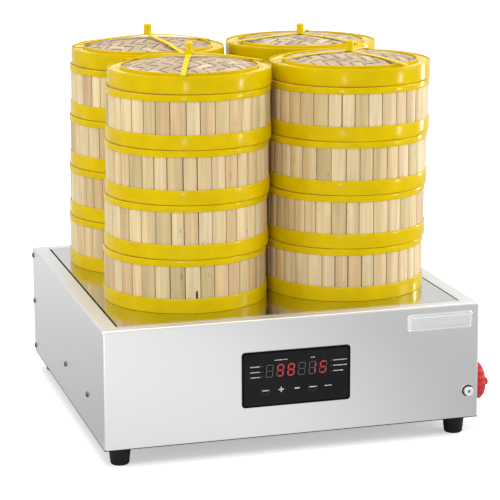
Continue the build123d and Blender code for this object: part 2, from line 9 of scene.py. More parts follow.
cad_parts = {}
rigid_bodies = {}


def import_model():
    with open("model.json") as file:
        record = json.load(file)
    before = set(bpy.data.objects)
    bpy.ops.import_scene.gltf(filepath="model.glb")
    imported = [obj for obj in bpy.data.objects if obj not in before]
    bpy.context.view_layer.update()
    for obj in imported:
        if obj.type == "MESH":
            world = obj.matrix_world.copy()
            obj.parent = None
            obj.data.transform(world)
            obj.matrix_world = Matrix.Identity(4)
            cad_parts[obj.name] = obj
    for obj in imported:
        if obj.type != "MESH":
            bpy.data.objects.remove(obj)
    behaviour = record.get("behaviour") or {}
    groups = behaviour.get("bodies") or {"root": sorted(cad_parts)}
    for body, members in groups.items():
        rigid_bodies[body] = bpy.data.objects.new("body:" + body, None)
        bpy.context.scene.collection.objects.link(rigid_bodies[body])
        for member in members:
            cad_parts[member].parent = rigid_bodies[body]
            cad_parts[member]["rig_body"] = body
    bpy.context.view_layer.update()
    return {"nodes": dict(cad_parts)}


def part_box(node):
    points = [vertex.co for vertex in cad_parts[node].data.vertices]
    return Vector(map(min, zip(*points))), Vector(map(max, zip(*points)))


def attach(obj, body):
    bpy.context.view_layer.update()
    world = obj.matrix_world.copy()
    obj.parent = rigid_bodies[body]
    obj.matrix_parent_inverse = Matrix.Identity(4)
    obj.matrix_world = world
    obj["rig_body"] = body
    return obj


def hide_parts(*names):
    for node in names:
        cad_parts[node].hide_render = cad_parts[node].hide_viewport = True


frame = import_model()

print("frame loaded:", len(frame["nodes"]), "nodes")

# Metres, in the frame of the solids: +X right, +Y back, +Z up, the counter at 0
draw = np.random.default_rng(11)
uvReach = 3  # each strip's UV starts at random somewhere within this distance
caseLow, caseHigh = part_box("body_shell")
caseX = (caseLow.x + caseHigh.x) / 2
caseY = (caseLow.y + caseHigh.y) / 2
frontY = caseLow.y
stackNames = ("front_left", "front_right", "back_left", "back_right")
tierCount = 4
# The view: place from the case's middle, turns in radians, focal length and sensor in millimetres
cameraParts = {"x": -0.6744, "y": -2.3783, "z": 0.7656, "yaw": 0.27996, "pitch": 0.22656, "roll": -0.00458,
               "lens": 144.35, "sensor": 36.0}


# Shapes

# A grid of points becomes quads: rows and columns may wrap round, and a tube's two ends may be capped.
# UV runs in metres along the rows and columns. The first axis, if there are four, counts copies.
def gridShape(points, wrapRows=False, wrapCols=False, caps=False, uvSize=(1.0, 1.0), uvShift=None, tone=0.5):
    points = np.asarray(points, float)
    if points.ndim == 3:
        points = points[None]
    copies, rows, cols = points.shape[:3]
    index = np.arange(copies * rows * cols).reshape(copies, rows, cols)
    rowEnd = rows if wrapRows else rows - 1
    colEnd = cols if wrapCols else cols - 1
    i = np.arange(rowEnd)[:, None]
    j = np.arange(colEnd)[None, :]
    nextI = (i + 1) % rows
    nextJ = (j + 1) % cols
    corners = (index[:, i, j], index[:, i, nextJ], index[:, nextI, nextJ], index[:, nextI, j])
    quads = np.stack(corners, -1).reshape(-1, 4)
    across = np.stack(np.broadcast_arrays(j, j + 1, j + 1, j), -1) / colEnd * uvSize[0]
    along = np.stack(np.broadcast_arrays(i, i, i + 1, i + 1), -1) / rowEnd * uvSize[1]
    uv = np.stack(np.broadcast_arrays(across, along), -1)
    uv = np.broadcast_to(uv, (copies,) + uv.shape).copy()
    shift = np.zeros((copies, 2)) if uvShift is None else np.asarray(uvShift)
    uv += shift[:, None, None, None, :]
    uv = uv.reshape(-1, 2)
    faces = [quads]
    if caps:
        ends = np.concatenate([index[:, 0, ::-1], index[:, -1, :]])
        endUv = np.repeat(np.concatenate([shift, shift + [0, uvSize[1]]]), cols, 0)
        faces.append(ends)
        uv = np.concatenate([uv, endUv])
    toneValues = np.broadcast_to(np.reshape(tone, (-1, 1)), (copies, rows * cols)).reshape(-1)
    return {"points": points.reshape(-1, 3), "faces": faces, "uv": uv, "tone": toneValues}


# A profile of radius and height is carried round an upright axis. It is a closed loop, or it starts and
# ends on the axis. A wobble adds to the radius at each angle.
def lathe(profile, centre=(0, 0, 0), segments=96, wobble=None, tone=0.5):
    profile = np.asarray(profile, float)
    closed = profile[0, 0] > 0
    angle = np.arange(segments) * 2 * pi / segments
    radius = profile[None, :, 0] + (np.zeros(segments) if wobble is None else wobble(angle))[:, None]
    radius = np.where(profile[None, :, 0] > 0, radius, 0)
    height = np.broadcast_to(profile[None, :, 1], radius.shape)
    points = np.stack([radius * np.cos(angle)[:, None], radius * np.sin(angle)[:, None], height], -1)
    around = 2 * pi * profile[:, 0].max()
    length = np.linalg.norm(np.diff(profile, axis=0), axis=1).sum()
    shape = gridShape(points + np.asarray(centre), wrapRows=True, wrapCols=closed, uvSize=(length, around), tone=tone)
    shape["uv"] = shape["uv"][:, ::-1]
    return shape


# A closed section is carried along a path: each point is the path plus side and up times the section.
# Side and up are one direction for the whole path, or one for each of its points
def sweep(path, side, up, section, tone=0.5, uvShift=(0.0, 0.0)):
    path, section = np.asarray(path, float), np.asarray(section, float)
    side, up = (np.broadcast_to(np.asarray(value, float), path.shape) for value in (side, up))
    points = path[:, None] + side[:, None] * section[None, :, :1] + up[:, None] * section[None, :, 1:]
    length = np.linalg.norm(np.diff(path, axis=0), axis=1).sum()
    width = np.linalg.norm(np.diff(section, axis=0), axis=1).sum()
    return gridShape(points, wrapCols=True, caps=True, uvSize=(width, length), uvShift=[uvShift], tone=tone)


# A rounded rectangle in its own plane: each corner is an arc, its middle plus its radius times cosine and sine
def roundedOutline(width, height, corner, steps=6):
    turns = np.linspace(0, pi / 2, steps)
    points = []
    for quarter, (sx, sz) in enumerate(((1, 1), (-1, 1), (-1, -1), (1, -1))):
        angle = turns + quarter * pi / 2
        middle = (sx * (width / 2 - corner), sz * (height / 2 - corner))
        points.append(np.stack([middle[0] + corner * np.cos(angle), middle[1] + corner * np.sin(angle)], -1))
    return np.concatenate(points)


# Outlines in the front's plane, stacked outwards: each level is an inset and a height over the face
def frontPlate(x, z, faceY, width, height, corner, levels):
    rows = []
    for inset, out in levels:
        outline = roundedOutline(width - 2 * inset, height - 2 * inset, max(corner - inset, 0.0002))
        flat = np.full(len(outline), faceY - out)
        rows.append(np.stack([x + outline[:, 0], flat, z + outline[:, 1]], -1))
    return gridShape(np.array(rows), wrapCols=True, caps=True)


# A shape made round +Z is turned so that its axis points the given way, and moved to its place
def turned(shape, direction, place):
    turn = Vector(direction).to_track_quat("Z", "Y").to_matrix()
    shape["points"] = shape["points"] @ np.array(turn).T + np.asarray(place)
    return shape


# Doubled points are merged, faces turned outwards, and only edges sharper than the angle stay crisp
def finishMesh(name, mesh, material, sharpAngle):
    bm = bmesh.new()
    bm.from_mesh(mesh)
    bmesh.ops.remove_doubles(bm, verts=bm.verts, dist=1e-7)
    bmesh.ops.recalc_face_normals(bm, faces=bm.faces)
    bm.to_mesh(mesh)
    bm.free()
    mesh.materials.clear()
    mesh.materials.append(material)
    mesh.polygons.foreach_set("use_smooth", np.ones(len(mesh.polygons), bool))
    mesh.set_sharp_from_angle(angle=radians(sharpAngle))
    piece = bpy.data.objects.new(name, mesh)
    bpy.context.scene.collection.objects.link(piece)
    return piece


# Shapes become one mesh with UV and tone, which rides on its body and may replace solids
def makePiece(name, shapes, body, material, replaced=(), sharpAngle=38):
    mesh = bpy.data.meshes.new(name)
    starts = np.cumsum([0] + [len(shape["points"]) for shape in shapes])
    faces = []
    for shape, start in zip(shapes, starts):
        for block in shape["faces"]:
            faces += (block + start).tolist()
    mesh.from_pydata(np.concatenate([shape["points"] for shape in shapes]).tolist(), [], faces)
    uvLayer = mesh.uv_layers.new(name="UVMap")
    uvLayer.data.foreach_set("uv", np.concatenate([shape["uv"] for shape in shapes]).astype(np.float32).ravel())
    toneLayer = mesh.attributes.new("tone", "FLOAT", "POINT")
    toneLayer.data.foreach_set("value", np.concatenate([shape["tone"] for shape in shapes]).astype(np.float32))
    piece = finishMesh(name, mesh, material, sharpAngle)
    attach(piece, body)
    if replaced:
        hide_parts(*replaced)
    return piece


# A copy of a solid's mesh with its corners merged and its edges slightly rounded
def refinedCopy(node, name, material, bevel=0.0004, sharpAngle=30):
    source = frame["nodes"][node]
    mesh = source.data.copy()
    mesh.name = name
    bm = bmesh.new()
    bm.from_mesh(mesh)
    bmesh.ops.remove_doubles(bm, verts=bm.verts, dist=1e-6)
    bmesh.ops.dissolve_limit(bm, angle_limit=radians(0.4), verts=bm.verts, edges=bm.edges)  # flats become whole
    bm.to_mesh(mesh)
    bm.free()
    piece = finishMesh(name, mesh, material, sharpAngle)
    if bevel:
        edge = piece.modifiers.new("edge", "BEVEL")
        edge.width = bevel
        edge.segments = 2
        edge.limit_method = "ANGLE"
        edge.angle_limit = radians(sharpAngle)
        edge.harden_normals = True
    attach(piece, source["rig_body"])
    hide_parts(node)
    return piece


# Materials

# Gives a helper that adds a node, sets its values and links the inputs that are given as sockets
def nodeAdder(tree):
    def add(kind, inputs=None, **settings):
        node = tree.nodes.new(kind)
        for key, value in settings.items():
            setattr(node, key, value)
        for key, value in (inputs or {}).items():
            if isinstance(value, bpy.types.NodeSocket):
                tree.links.new(value, node.inputs[key])
            else:
                node.inputs[key].default_value = value
        return node
    return add


# Each stop is a place along the ramp and a colour
def setRamp(node, stops):
    ramp = node.color_ramp
    while len(ramp.elements) < len(stops):
        ramp.elements.new(1.0)
    for element, (place, colour) in zip(ramp.elements, stops):
        element.position = place
        element.color = (*colour, 1.0) if len(colour) == 3 else colour


# Inputs are a name, a kind and a default value, outputs a name and a kind
def newGroup(name, inputs, outputs):
    tree = bpy.data.node_groups.new(name, "ShaderNodeTree")
    for label, kind, value in inputs:
        socket = tree.interface.new_socket(name=label, in_out="INPUT", socket_type=kind)
        if value is not None:
            socket.default_value = value
    for label, kind in outputs:
        tree.interface.new_socket(name=label, in_out="OUTPUT", socket_type=kind)
    return tree, nodeAdder(tree), tree.nodes.new("NodeGroupInput").outputs, tree.nodes.new("NodeGroupOutput").inputs


# Each noise: how fine it is across and along the strip, and its detail
fibreParts = {"grain": (380.0, 6.0, 3.0), "fine": (850.0, 9.0, 2.0), "flecks": (900.0, 80.0, 1.0), "fineShare": 0.9,
              "shadeFrom": 0.70, "shadeTo": 1.20, "fleckFrom": 0.70, "fleckTo": 0.78, "toneStep": 31.0}


# Long fibres: two noises stretched along the strip darken and lighten its tone, and a third one marks flecks
def makeFibreGroup():
    parts = fibreParts
    tree, add, given, out = newGroup(
        "bambooFibre",
        [("Vector", "NodeSocketVector", None), ("Tone", "NodeSocketFloat", 0.5), ("Depth", "NodeSocketFloat", 0.5)],
        [("Shade", "NodeSocketFloat"), ("Fleck", "NodeSocketFloat"), ("Height", "NodeSocketFloat")])
    step = add("ShaderNodeMath", {0: given["Tone"], 1: parts["toneStep"]}, operation="MULTIPLY").outputs[0]
    apart = add("ShaderNodeCombineXYZ", {"X": 0.0, "Y": 0.0, "Z": step}).outputs[0]  # each tone has its own fibres
    noises = []
    for key in ("grain", "fine", "flecks"):
        across, along, detail = parts[key]
        scaled = add("ShaderNodeVectorMath", {0: given["Vector"], 1: (across, along, 1.0)}, operation="MULTIPLY")
        moved = add("ShaderNodeVectorMath", {0: scaled.outputs[0], 1: apart}, operation="ADD")
        noise = add("ShaderNodeTexNoise", {"Vector": moved.outputs[0], "Scale": 1.0, "Detail": detail})
        noises.append(noise.outputs["Fac"])
    fine = add("ShaderNodeMath", {0: noises[1], 1: parts["fineShare"]}, operation="MULTIPLY").outputs[0]
    both = add("ShaderNodeMath", {0: noises[0], 1: fine}, operation="ADD").outputs[0]
    shade = add("ShaderNodeMapRange", {"Value": both, "From Min": parts["shadeFrom"], "From Max": parts["shadeTo"]})
    fleck = add("ShaderNodeMapRange",
                {"Value": noises[2], "From Min": parts["fleckFrom"], "From Max": parts["fleckTo"]})
    height = add("ShaderNodeMath", {0: noises[1], 1: given["Depth"]}, operation="MULTIPLY").outputs[0]
    tree.links.new(shade.outputs[0], out["Shade"])
    tree.links.new(fleck.outputs[0], out["Fleck"])
    tree.links.new(height, out["Height"])
    return tree


# Brush lines: a noise squeezed across the brush direction and drawn out along it, with broad soft bands
def makeBrushGroup():
    tree, add, given, out = newGroup(
        "brushLines",
        [("Vector", "NodeSocketVector", None), ("Stretch", "NodeSocketVector", (1.0, 1.0, 1.0))],
        [("Line", "NodeSocketFloat"), ("Cloud", "NodeSocketFloat")])
    scaled = add("ShaderNodeVectorMath", {0: given["Vector"], 1: given["Stretch"]}, operation="MULTIPLY")
    line = add("ShaderNodeTexNoise", {"Vector": scaled.outputs[0], "Scale": 1.0, "Detail": 4.0, "Roughness": 0.6})
    cloud = add("ShaderNodeTexNoise", {"Vector": given["Vector"], "Scale": 9.0, "Detail": 2.0})
    tree.links.new(line.outputs["Fac"], out["Line"])
    tree.links.new(cloud.outputs["Fac"], out["Cloud"])
    return tree


# Handling marks: soft smears and small specks that dull a gloss here and there
def makeSmearGroup():
    tree, add, given, out = newGroup(
        "handlingMarks",
        [("Vector", "NodeSocketVector", None), ("Base", "NodeSocketFloat", 0.3), ("Spread", "NodeSocketFloat", 0.1)],
        [("Roughness", "NodeSocketFloat"), ("Height", "NodeSocketFloat")])
    smear = add("ShaderNodeTexNoise", {"Vector": given["Vector"], "Scale": 24.0, "Detail": 3.0, "Distortion": 0.8})
    speck = add("ShaderNodeTexNoise", {"Vector": given["Vector"], "Scale": 900.0, "Detail": 1.0})
    part = add("ShaderNodeMath", {0: smear.outputs["Fac"], 1: -0.5}, operation="ADD").outputs[0]
    wide = add("ShaderNodeMath", {0: part, 1: given["Spread"]}, operation="MULTIPLY").outputs[0]
    rough = add("ShaderNodeMath", {0: wide, 1: given["Base"]}, operation="ADD").outputs[0]
    tree.links.new(rough, out["Roughness"])
    tree.links.new(speck.outputs["Fac"], out["Height"])
    return tree


fibreGroup = makeFibreGroup()
brushGroup = makeBrushGroup()
smearGroup = makeSmearGroup()


# The shader's constant values go by their sockets' names
def startMaterial(name, values):
    material = bpy.data.materials.new(name)
    material.use_nodes = True
    tree = material.node_tree
    shader = tree.nodes["Principled BSDF"]
    for key, value in values.items():
        shader.inputs[key].default_value = value
    return material, tree, nodeAdder(tree), shader


# A height becomes a fine relief
def joinBump(tree, add, shader, height, strength, distance):
    bump = add("ShaderNodeBump", {"Strength": strength, "Distance": distance, "Height": height})
    tree.links.new(bump.outputs["Normal"], shader.inputs["Normal"])


# Brushed or polished steel: the brush lines vary colour a little, roughness more, and stand as a fine bump
def steelMaterial(name, colour, rough, spread, stretch, contrast, bump, topRough=None):
    material, tree, add, shader = startMaterial(name, {"Metallic": 1.0})
    coords = add("ShaderNodeTexCoord").outputs["Object"]
    brush = add("ShaderNodeGroup", {"Vector": coords, "Stretch": stretch}, node_tree=brushGroup)
    low = [part * (1 - contrast) for part in colour]
    high = [min(part * (1 + contrast), 1.0) for part in colour]
    tint = add("ShaderNodeValToRGB", {"Fac": brush.outputs["Line"]})
    setRamp(tint, ((0.3, low), (0.7, high)))
    tree.links.new(tint.outputs["Color"], shader.inputs["Base Color"])
    roughness = add("ShaderNodeMapRange", {"Value": brush.outputs["Cloud"], "From Min": 0.3, "From Max": 0.7,
                                           "To Min": rough - spread, "To Max": rough + spread}).outputs[0]
    if topRough is not None:  # faces that look up are duller
        normal = add("ShaderNodeNewGeometry").outputs["Normal"]
        upward = add("ShaderNodeSeparateXYZ", {0: normal}).outputs["Z"]
        mask = add("ShaderNodeMapRange", {"Value": upward, "From Min": 0.6, "From Max": 0.9}).outputs[0]
        roughness = add("ShaderNodeMix", {0: mask, 2: roughness, 3: topRough}, data_type="FLOAT").outputs[0]
    tree.links.new(roughness, shader.inputs["Roughness"])
    joinBump(tree, add, shader, brush.outputs["Line"], bump, 0.0002)
    return material


# Bamboo: the strip's tone picks a colour along a ramp, and fibres and flecks darken it
def bambooMaterial(name, stops, dark, depth, rough):
    material, tree, add, shader = startMaterial(name, {"Roughness": rough, "Specular IOR Level": 0.35})
    coords = add("ShaderNodeUVMap", None, uv_map="UVMap").outputs["UV"]
    tone = add("ShaderNodeAttribute", None, attribute_name="tone").outputs["Fac"]
    fibre = add("ShaderNodeGroup", {"Vector": coords, "Tone": tone, "Depth": depth}, node_tree=fibreGroup)
    base = add("ShaderNodeValToRGB", {"Fac": tone})
    setRamp(base, stops)
    streak = add("ShaderNodeMapRange", {"Value": fibre.outputs["Shade"], "To Min": 1.12, "To Max": dark})
    streaked = add("ShaderNodeVectorMath", {0: base.outputs["Color"], "Scale": streak.outputs[0]},
                   operation="SCALE")
    fleck = add("ShaderNodeMapRange", {"Value": fibre.outputs["Fleck"], "To Min": 1.0, "To Max": 0.72})
    flecked = add("ShaderNodeVectorMath", {0: streaked.outputs[0], "Scale": fleck.outputs[0]}, operation="SCALE")
    tree.links.new(flecked.outputs[0], shader.inputs["Base Color"])
    joinBump(tree, add, shader, fibre.outputs["Height"], 0.5, 0.0003)
    return material


# Moulded plastic, rubber or film: one colour broken by soft smears, with a fine grain in the gloss
def plasticMaterial(name, colour, rough, spread, colourSpread, bump, specular=0.5, metallic=0.0):
    values = {"Specular IOR Level": specular, "Metallic": metallic}
    material, tree, add, shader = startMaterial(name, values)
    coords = add("ShaderNodeTexCoord").outputs["Object"]
    marks = add("ShaderNodeGroup", {"Vector": coords, "Base": rough, "Spread": spread}, node_tree=smearGroup)
    patch = add("ShaderNodeTexNoise", {"Vector": coords, "Scale": 45.0, "Detail": 2.0})
    tint = add("ShaderNodeValToRGB", {"Fac": patch.outputs["Fac"]})
    setRamp(tint, ((0.3, [part * (1 - colourSpread) for part in colour]),
                   (0.7, [min(part * (1 + colourSpread), 1.0) for part in colour])))
    tree.links.new(tint.outputs["Color"], shader.inputs["Base Color"])
    tree.links.new(marks.outputs["Roughness"], shader.inputs["Roughness"])
    joinBump(tree, add, shader, marks.outputs["Height"], bump, 0.0001)
    return material


# Lit bars and printed marks: one colour with a fine grain, which glows where the strength is above 0
def glowMaterial(name, colour, strength=0.0):
    material, tree, add, shader = startMaterial(name, {"Roughness": 0.3, "Emission Strength": strength})
    coords = add("ShaderNodeTexCoord").outputs["Object"]
    grain = add("ShaderNodeTexNoise", {"Vector": coords, "Scale": 700.0})
    tint = add("ShaderNodeValToRGB", {"Fac": grain.outputs["Fac"]})
    setRamp(tint, ((0.3, [part * 0.9 for part in colour]), (0.7, colour)))
    tree.links.new(tint.outputs["Color"], shader.inputs["Base Color"])
    tree.links.new(tint.outputs["Color"], shader.inputs["Emission Color"])
    return material


# Tones along each ramp. The wall's first stop is painted shade, the dark seen in open seams and the slit, and slats
# take the others
wallStopsAndGapShade = (
    (0.0, (0.035, 0.016, 0.007)), (0.04, (0.52, 0.42, 0.20)), (0.2, (0.62, 0.47, 0.24)), (0.4, (0.70, 0.53, 0.28)),
    (0.6, (0.76, 0.61, 0.36)), (0.8, (0.67, 0.48, 0.25)), (1.0, (0.60, 0.41, 0.22)))
weaveStops = (
    (0.0, (0.38, 0.29, 0.18)), (0.25, (0.52, 0.40, 0.26)), (0.5, (0.64, 0.51, 0.34)),
    (0.75, (0.47, 0.35, 0.22)), (1.0, (0.58, 0.43, 0.30)))
# The hoop's yellow tint is a painted reflection of the yellow bands on its bamboo tone
hoopStopsYellowReflection = ((0.0, (0.74, 0.58, 0.16)), (0.5, (0.82, 0.68, 0.24)), (1.0, (0.76, 0.60, 0.16)))
# The lining's near-black tones are partly its own colour, partly painted shade seen through the weave's gaps
liningStopsAndShade = ((0.0, (0.05, 0.03, 0.015)), (1.0, (0.09, 0.055, 0.03)))

caseSteel = steelMaterial("caseSteel", (0.80, 0.80, 0.80), rough=0.30, spread=0.02, stretch=(3.0, 3.0, 900.0),
                          contrast=0.006, bump=0.01, topRough=0.52)
traySteel = steelMaterial("traySteel", (0.70, 0.70, 0.69), rough=0.12, spread=0.02, stretch=(3.0, 900.0, 3.0),
                          contrast=0.012, bump=0.02)
tankSteel = steelMaterial("tankSteel", (0.62, 0.62, 0.61), rough=0.32, spread=0.05, stretch=(40.0, 40.0, 40.0),
                          contrast=0.08, bump=0.08)
brightSteel = steelMaterial("brightSteel", (0.80, 0.80, 0.80), rough=0.18, spread=0.03,
                            stretch=(300.0, 300.0, 300.0), contrast=0.05, bump=0.05)
screwSteel = steelMaterial("screwSteel", (0.13, 0.13, 0.14), rough=0.14, spread=0.03,
                           stretch=(300.0, 300.0, 300.0), contrast=0.08, bump=0.06)
brassMetal = steelMaterial("brassMetal", (0.72, 0.50, 0.20), rough=0.28, spread=0.05,
                           stretch=(200.0, 200.0, 200.0), contrast=0.06, bump=0.06)
plateSilver = plasticMaterial("plateSilver", (0.84, 0.84, 0.85), rough=0.20, spread=0.05, colourSpread=0.02,
                              bump=0.03, metallic=0.6)
zincWhite = plasticMaterial("zincWhite", (0.86, 0.86, 0.87), rough=0.2, spread=0.05, colourSpread=0.02,
                            bump=0.02, metallic=0.35)
wallBambooAndGapShade = bambooMaterial("wallBambooAndGapShade", wallStopsAndGapShade, dark=0.82, depth=0.6, rough=0.52)
weaveBamboo = bambooMaterial("weaveBamboo", weaveStops, dark=0.76, depth=0.6, rough=0.58)
hoopBambooYellowReflection = bambooMaterial("hoopBambooYellowReflection", hoopStopsYellowReflection, dark=0.82, depth=0.5, rough=0.5)
liningBambooAndShade = bambooMaterial("liningBambooAndShade", liningStopsAndShade, dark=0.8, depth=0.5, rough=0.7)
bandYellow = plasticMaterial("bandYellow", (0.67, 0.475, 0.0), rough=0.17, spread=0.05, colourSpread=0.06,
                             bump=0.04, specular=0.08)
strapYellow = plasticMaterial("strapYellow", (0.76, 0.57, 0.0), rough=0.26, spread=0.10, colourSpread=0.05,
                              bump=0.06, specular=0.15)
panelBlack = plasticMaterial("panelBlack", (0.002, 0.002, 0.002), rough=0.10, spread=0.05, colourSpread=0.1,
                             bump=0.02, specular=0.08)
filmBlack = plasticMaterial("filmBlack", (0.009, 0.009, 0.010), rough=0.14, spread=0.05, colourSpread=0.1,
                            bump=0.02, specular=0.12)
# Black rubber for feet and seals; also the painted shade of the tray gaps, the bottom edge and the screw recesses
blackRubberAndShade = plasticMaterial("blackRubberAndShade", (0.009, 0.009, 0.010), rough=0.55, spread=0.15, colourSpread=0.2,
                              bump=0.3, specular=0.22)
nylonBlack = plasticMaterial("nylonBlack", (0.02, 0.02, 0.02), rough=0.42, spread=0.1, colourSpread=0.15, bump=0.2)
wheelRed = plasticMaterial("wheelRed", (0.52, 0.030, 0.030), rough=0.34, spread=0.12, colourSpread=0.08,
                           bump=0.1, specular=0.25)
boardGreen = plasticMaterial("boardGreen", (0.02, 0.12, 0.05), rough=0.4, spread=0.1, colourSpread=0.2, bump=0.2)
digitRed = glowMaterial("digitRed", (0.46, 0.025, 0.03), 0.2)
digitOff = glowMaterial("digitOff", (0.11, 0.115, 0.105))
markGrey = glowMaterial("markGrey", (0.72, 0.72, 0.72))
markWhite = glowMaterial("markWhite", (0.80, 0.80, 0.80))
markFaint = glowMaterial("markFaint", (0.06, 0.06, 0.065))
print("materials made")


# Case

# Solid, piece, slot, material and the width of the rounded edges
plainPieces = (
    ("body_shell", "caseShell", "case_steel", caseSteel, 0.0008),
    ("rear_panel", "rearPanel", "case_steel", caseSteel, 0.0004),
    ("base_plate", "basePlate", "case_steel", caseSteel, 0.0004),
    ("top_tray", "steamTray", "tray_steel", traySteel, 0.0003),
    ("seals", "sealRings", "rubber", blackRubberAndShade, 0.0002),
    ("water_tank", "waterTank", "tank_steel", tankSteel, 0.0003),
    ("heating_element", "heaterTube", "tank_steel", tankSteel, 0.0),
    ("level_probes", "levelProbes", "fasteners", brightSteel, 0.0002),
    ("drain_pipe", "drainPipe", "brass", brassMetal, 0.0),
    ("drain_cock", "drainCock", "brass", brassMetal, 0.0004),
    ("cable_gland", "cordGland", "gland", nylonBlack, 0.0004),
    ("control_board", "controlBoard", "board", boardGreen, 0.0002),
)
for node, name, slotName, material, bevel in plainPieces:
    refinedCopy(node, name, material, bevel)

# Black beads lie in the gaps beside the tray as painted shade of those gaps: the left one is wide, the right one thin
shadeBeadParts = {"left": 0.0017, "right": 0.0009, "proud": 0.00012, "endGap": 0.004, "coreShare": 0.3, "depth": 0.0006,
             "shoulder": 0.00008, "crown": 0.00004}


# A bead's section has a crown, two lips and a narrower core, and runs straight from front to back
def makeTrayShadeBeads():
    parts = shadeBeadParts
    low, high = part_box("top_tray")
    depth, shoulder = parts["depth"], parts["shoulder"]
    beads = []
    for x, width in ((low.x, parts["left"]), (high.x, parts["right"])):
        run = np.linspace(low.y + parts["endGap"], high.y - parts["endGap"], 4)
        path = [(x, y, caseHigh.z + parts["proud"]) for y in run]
        half, core = width / 2, width * parts["coreShare"]
        section = [(-half, 0), (-core, -shoulder), (-core, -depth), (core, -depth), (core, -shoulder), (half, 0),
                   (0, parts["crown"])]
        beads.append(sweep(path, (1, 0, 0), (0, 0, 1), section))
    makePiece("trayShadeBeads", beads, "case", blackRubberAndShade)


makeTrayShadeBeads()

shadowHemParts = {"height": 0.0009, "proud": 0.00012, "inset": 0.0005, "backGap": 0.001}


# The shell's lower edge gets a thin dark strip along the front and the two sides: painted shade of the bottom edge
def makeShadowHem():
    proud, inset, height = shadowHemParts["proud"], shadowHemParts["inset"], shadowHemParts["height"]
    backY = caseHigh.y - shadowHemParts["backGap"]
    corners = ((caseLow.x, backY), (caseLow.x, frontY), (caseHigh.x, frontY), (caseHigh.x, backY))
    outward = ((-1, 0, 0), (-1, -1, 0), (1, -1, 0), (1, 0, 0))
    section = [(-inset, 0), (proud, 0), (proud, height), (-inset, height)]
    hem = sweep([(x, y, caseLow.z) for x, y in corners], outward, (0, 0, 1), section)
    makePiece("caseShadowHem", [hem], "case", blackRubberAndShade)


makeShadowHem()
print("case pieces made")

footParts = {"topRadius": 0.0132, "bottomRadius": 0.0110, "edge": 0.0012, "washerRadius": 0.0145,
             "washerEdge": 0.0004, "washerThick": 0.0015, "studRadius": 0.003, "studEdge": 0.0005}


# Turned shapes: a foot widens upwards to its bright washer, and a stud goes on up through the base
def makeFeet():
    parts = footParts
    low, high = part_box("feet")
    inset = parts["topRadius"] + 0.0001
    tall, edge = high.z, parts["edge"]
    bottom, top = parts["bottomRadius"], parts["topRadius"]
    foot = ((0, 0), (bottom - edge, 0), (bottom, edge), (top, tall - edge), (top - edge, tall), (0, tall))
    washer, rim, thick = parts["washerRadius"], parts["washerEdge"], parts["washerThick"]
    disc = ((0, 0), (washer - rim, 0), (washer, rim), (washer, thick - rim), (washer - rim, thick), (0, thick))
    bar, barEdge = parts["studRadius"], parts["studEdge"]
    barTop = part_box("foot_studs")[1].z - tall - thick
    stud = ((0, 0), (bar, 0), (bar, barTop - barEdge), (bar - barEdge, barTop), (0, barTop))
    rubber, metal = [], []
    for x in (low.x + inset, high.x - inset):
        for y in (low.y + inset, high.y - inset):
            rubber.append(lathe(foot, (x, y, 0), 40))
            metal.append(lathe(disc, (x, y, tall), 40))
            metal.append(lathe(stud, (x, y, tall + thick), 16))
    makePiece("feetRubber", rubber, "case", blackRubberAndShade, ["feet"])
    makePiece("footWashers", metal, "case", zincWhite, ["foot_studs"])


makeFeet()

screwParts = {"headRadius": 0.0035, "headHeight": 0.0020, "domeShare": 0.65, "shaftRadius": 0.0016, "length": 0.008,
              "slotWidth": 0.0011, "slotLength": 0.0042, "slotDepth": 0.0007, "slotProud": 0.00004,
              "fromBack": 0.008, "fromEdge": 0.0087, "middleY": 0.0035, "middleStep": 0.135, "middleZ": 0.0645,
              "frontInset": 0.013}


# A pan head: its top is a low arc, and radius shrinks with the cosine; a dark cross on it is painted shade of the
# cross recess
def screwShapes(place, direction, spin):
    parts = screwParts
    radius, tall, domed = parts["headRadius"], parts["headHeight"], parts["domeShare"]
    shaft, length = parts["shaftRadius"], parts["length"]
    arc = np.linspace(0, pi / 2, 6)
    dome = np.column_stack([radius * (1 - domed + domed * np.cos(arc)), tall * (1 - domed + domed * np.sin(arc))])
    profile = [(0, -length), (shaft, -length), (shaft, 0), (radius, 0), *dome, (0, tall)]
    head = turned(lathe(profile, (0, 0, 0), 24), direction, place)
    crosses = []
    for quarter in (0, pi / 2):
        half = parts["slotLength"] / 2
        width = parts["slotWidth"] / 2
        outline = np.array([(-half, -width), (half, -width), (half, width), (-half, width)])
        c, s = cos(spin + quarter), sin(spin + quarter)
        outline = outline @ np.array([[c, s], [-s, c]])
        top = tall + parts["slotProud"]
        rows = [np.column_stack([outline, np.full(4, z)]) for z in (top - parts["slotDepth"], top)]
        crosses.append(turned(gridShape(np.array(rows), wrapCols=True, caps=True), direction, place))
    return head, crosses


# Three screws stand near the back of each side and two low along its middle; one is under the front edge
def makeScrews():
    parts = screwParts
    backY = caseHigh.y - parts["fromBack"]
    middleY = caseY + parts["middleY"]
    backZ = (caseLow.z + parts["fromEdge"], (caseLow.z + caseHigh.z) / 2, caseHigh.z - parts["fromEdge"])
    spots = [(backY, z) for z in backZ]
    spots += [(middleY, parts["middleZ"]), (middleY - parts["middleStep"], parts["middleZ"])]
    places = []
    for side, x in ((-1, caseLow.x), (1, caseHigh.x)):
        places += [((x, y, z), (side, 0, 0)) for y, z in spots]
    places.append(((caseX, frontY + parts["frontInset"], caseLow.z), (0, 0, -1)))
    heads, crosses = [], []
    for place, direction in places:
        head, cross = screwShapes(place, direction, draw.uniform(0, pi / 2))
        heads.append(head)
        crosses += cross
    makePiece("caseScrews", heads, "case", screwSteel, ["case_screws"])
    makePiece("screwRecessShade", crosses, "case", blackRubberAndShade)


makeScrews()

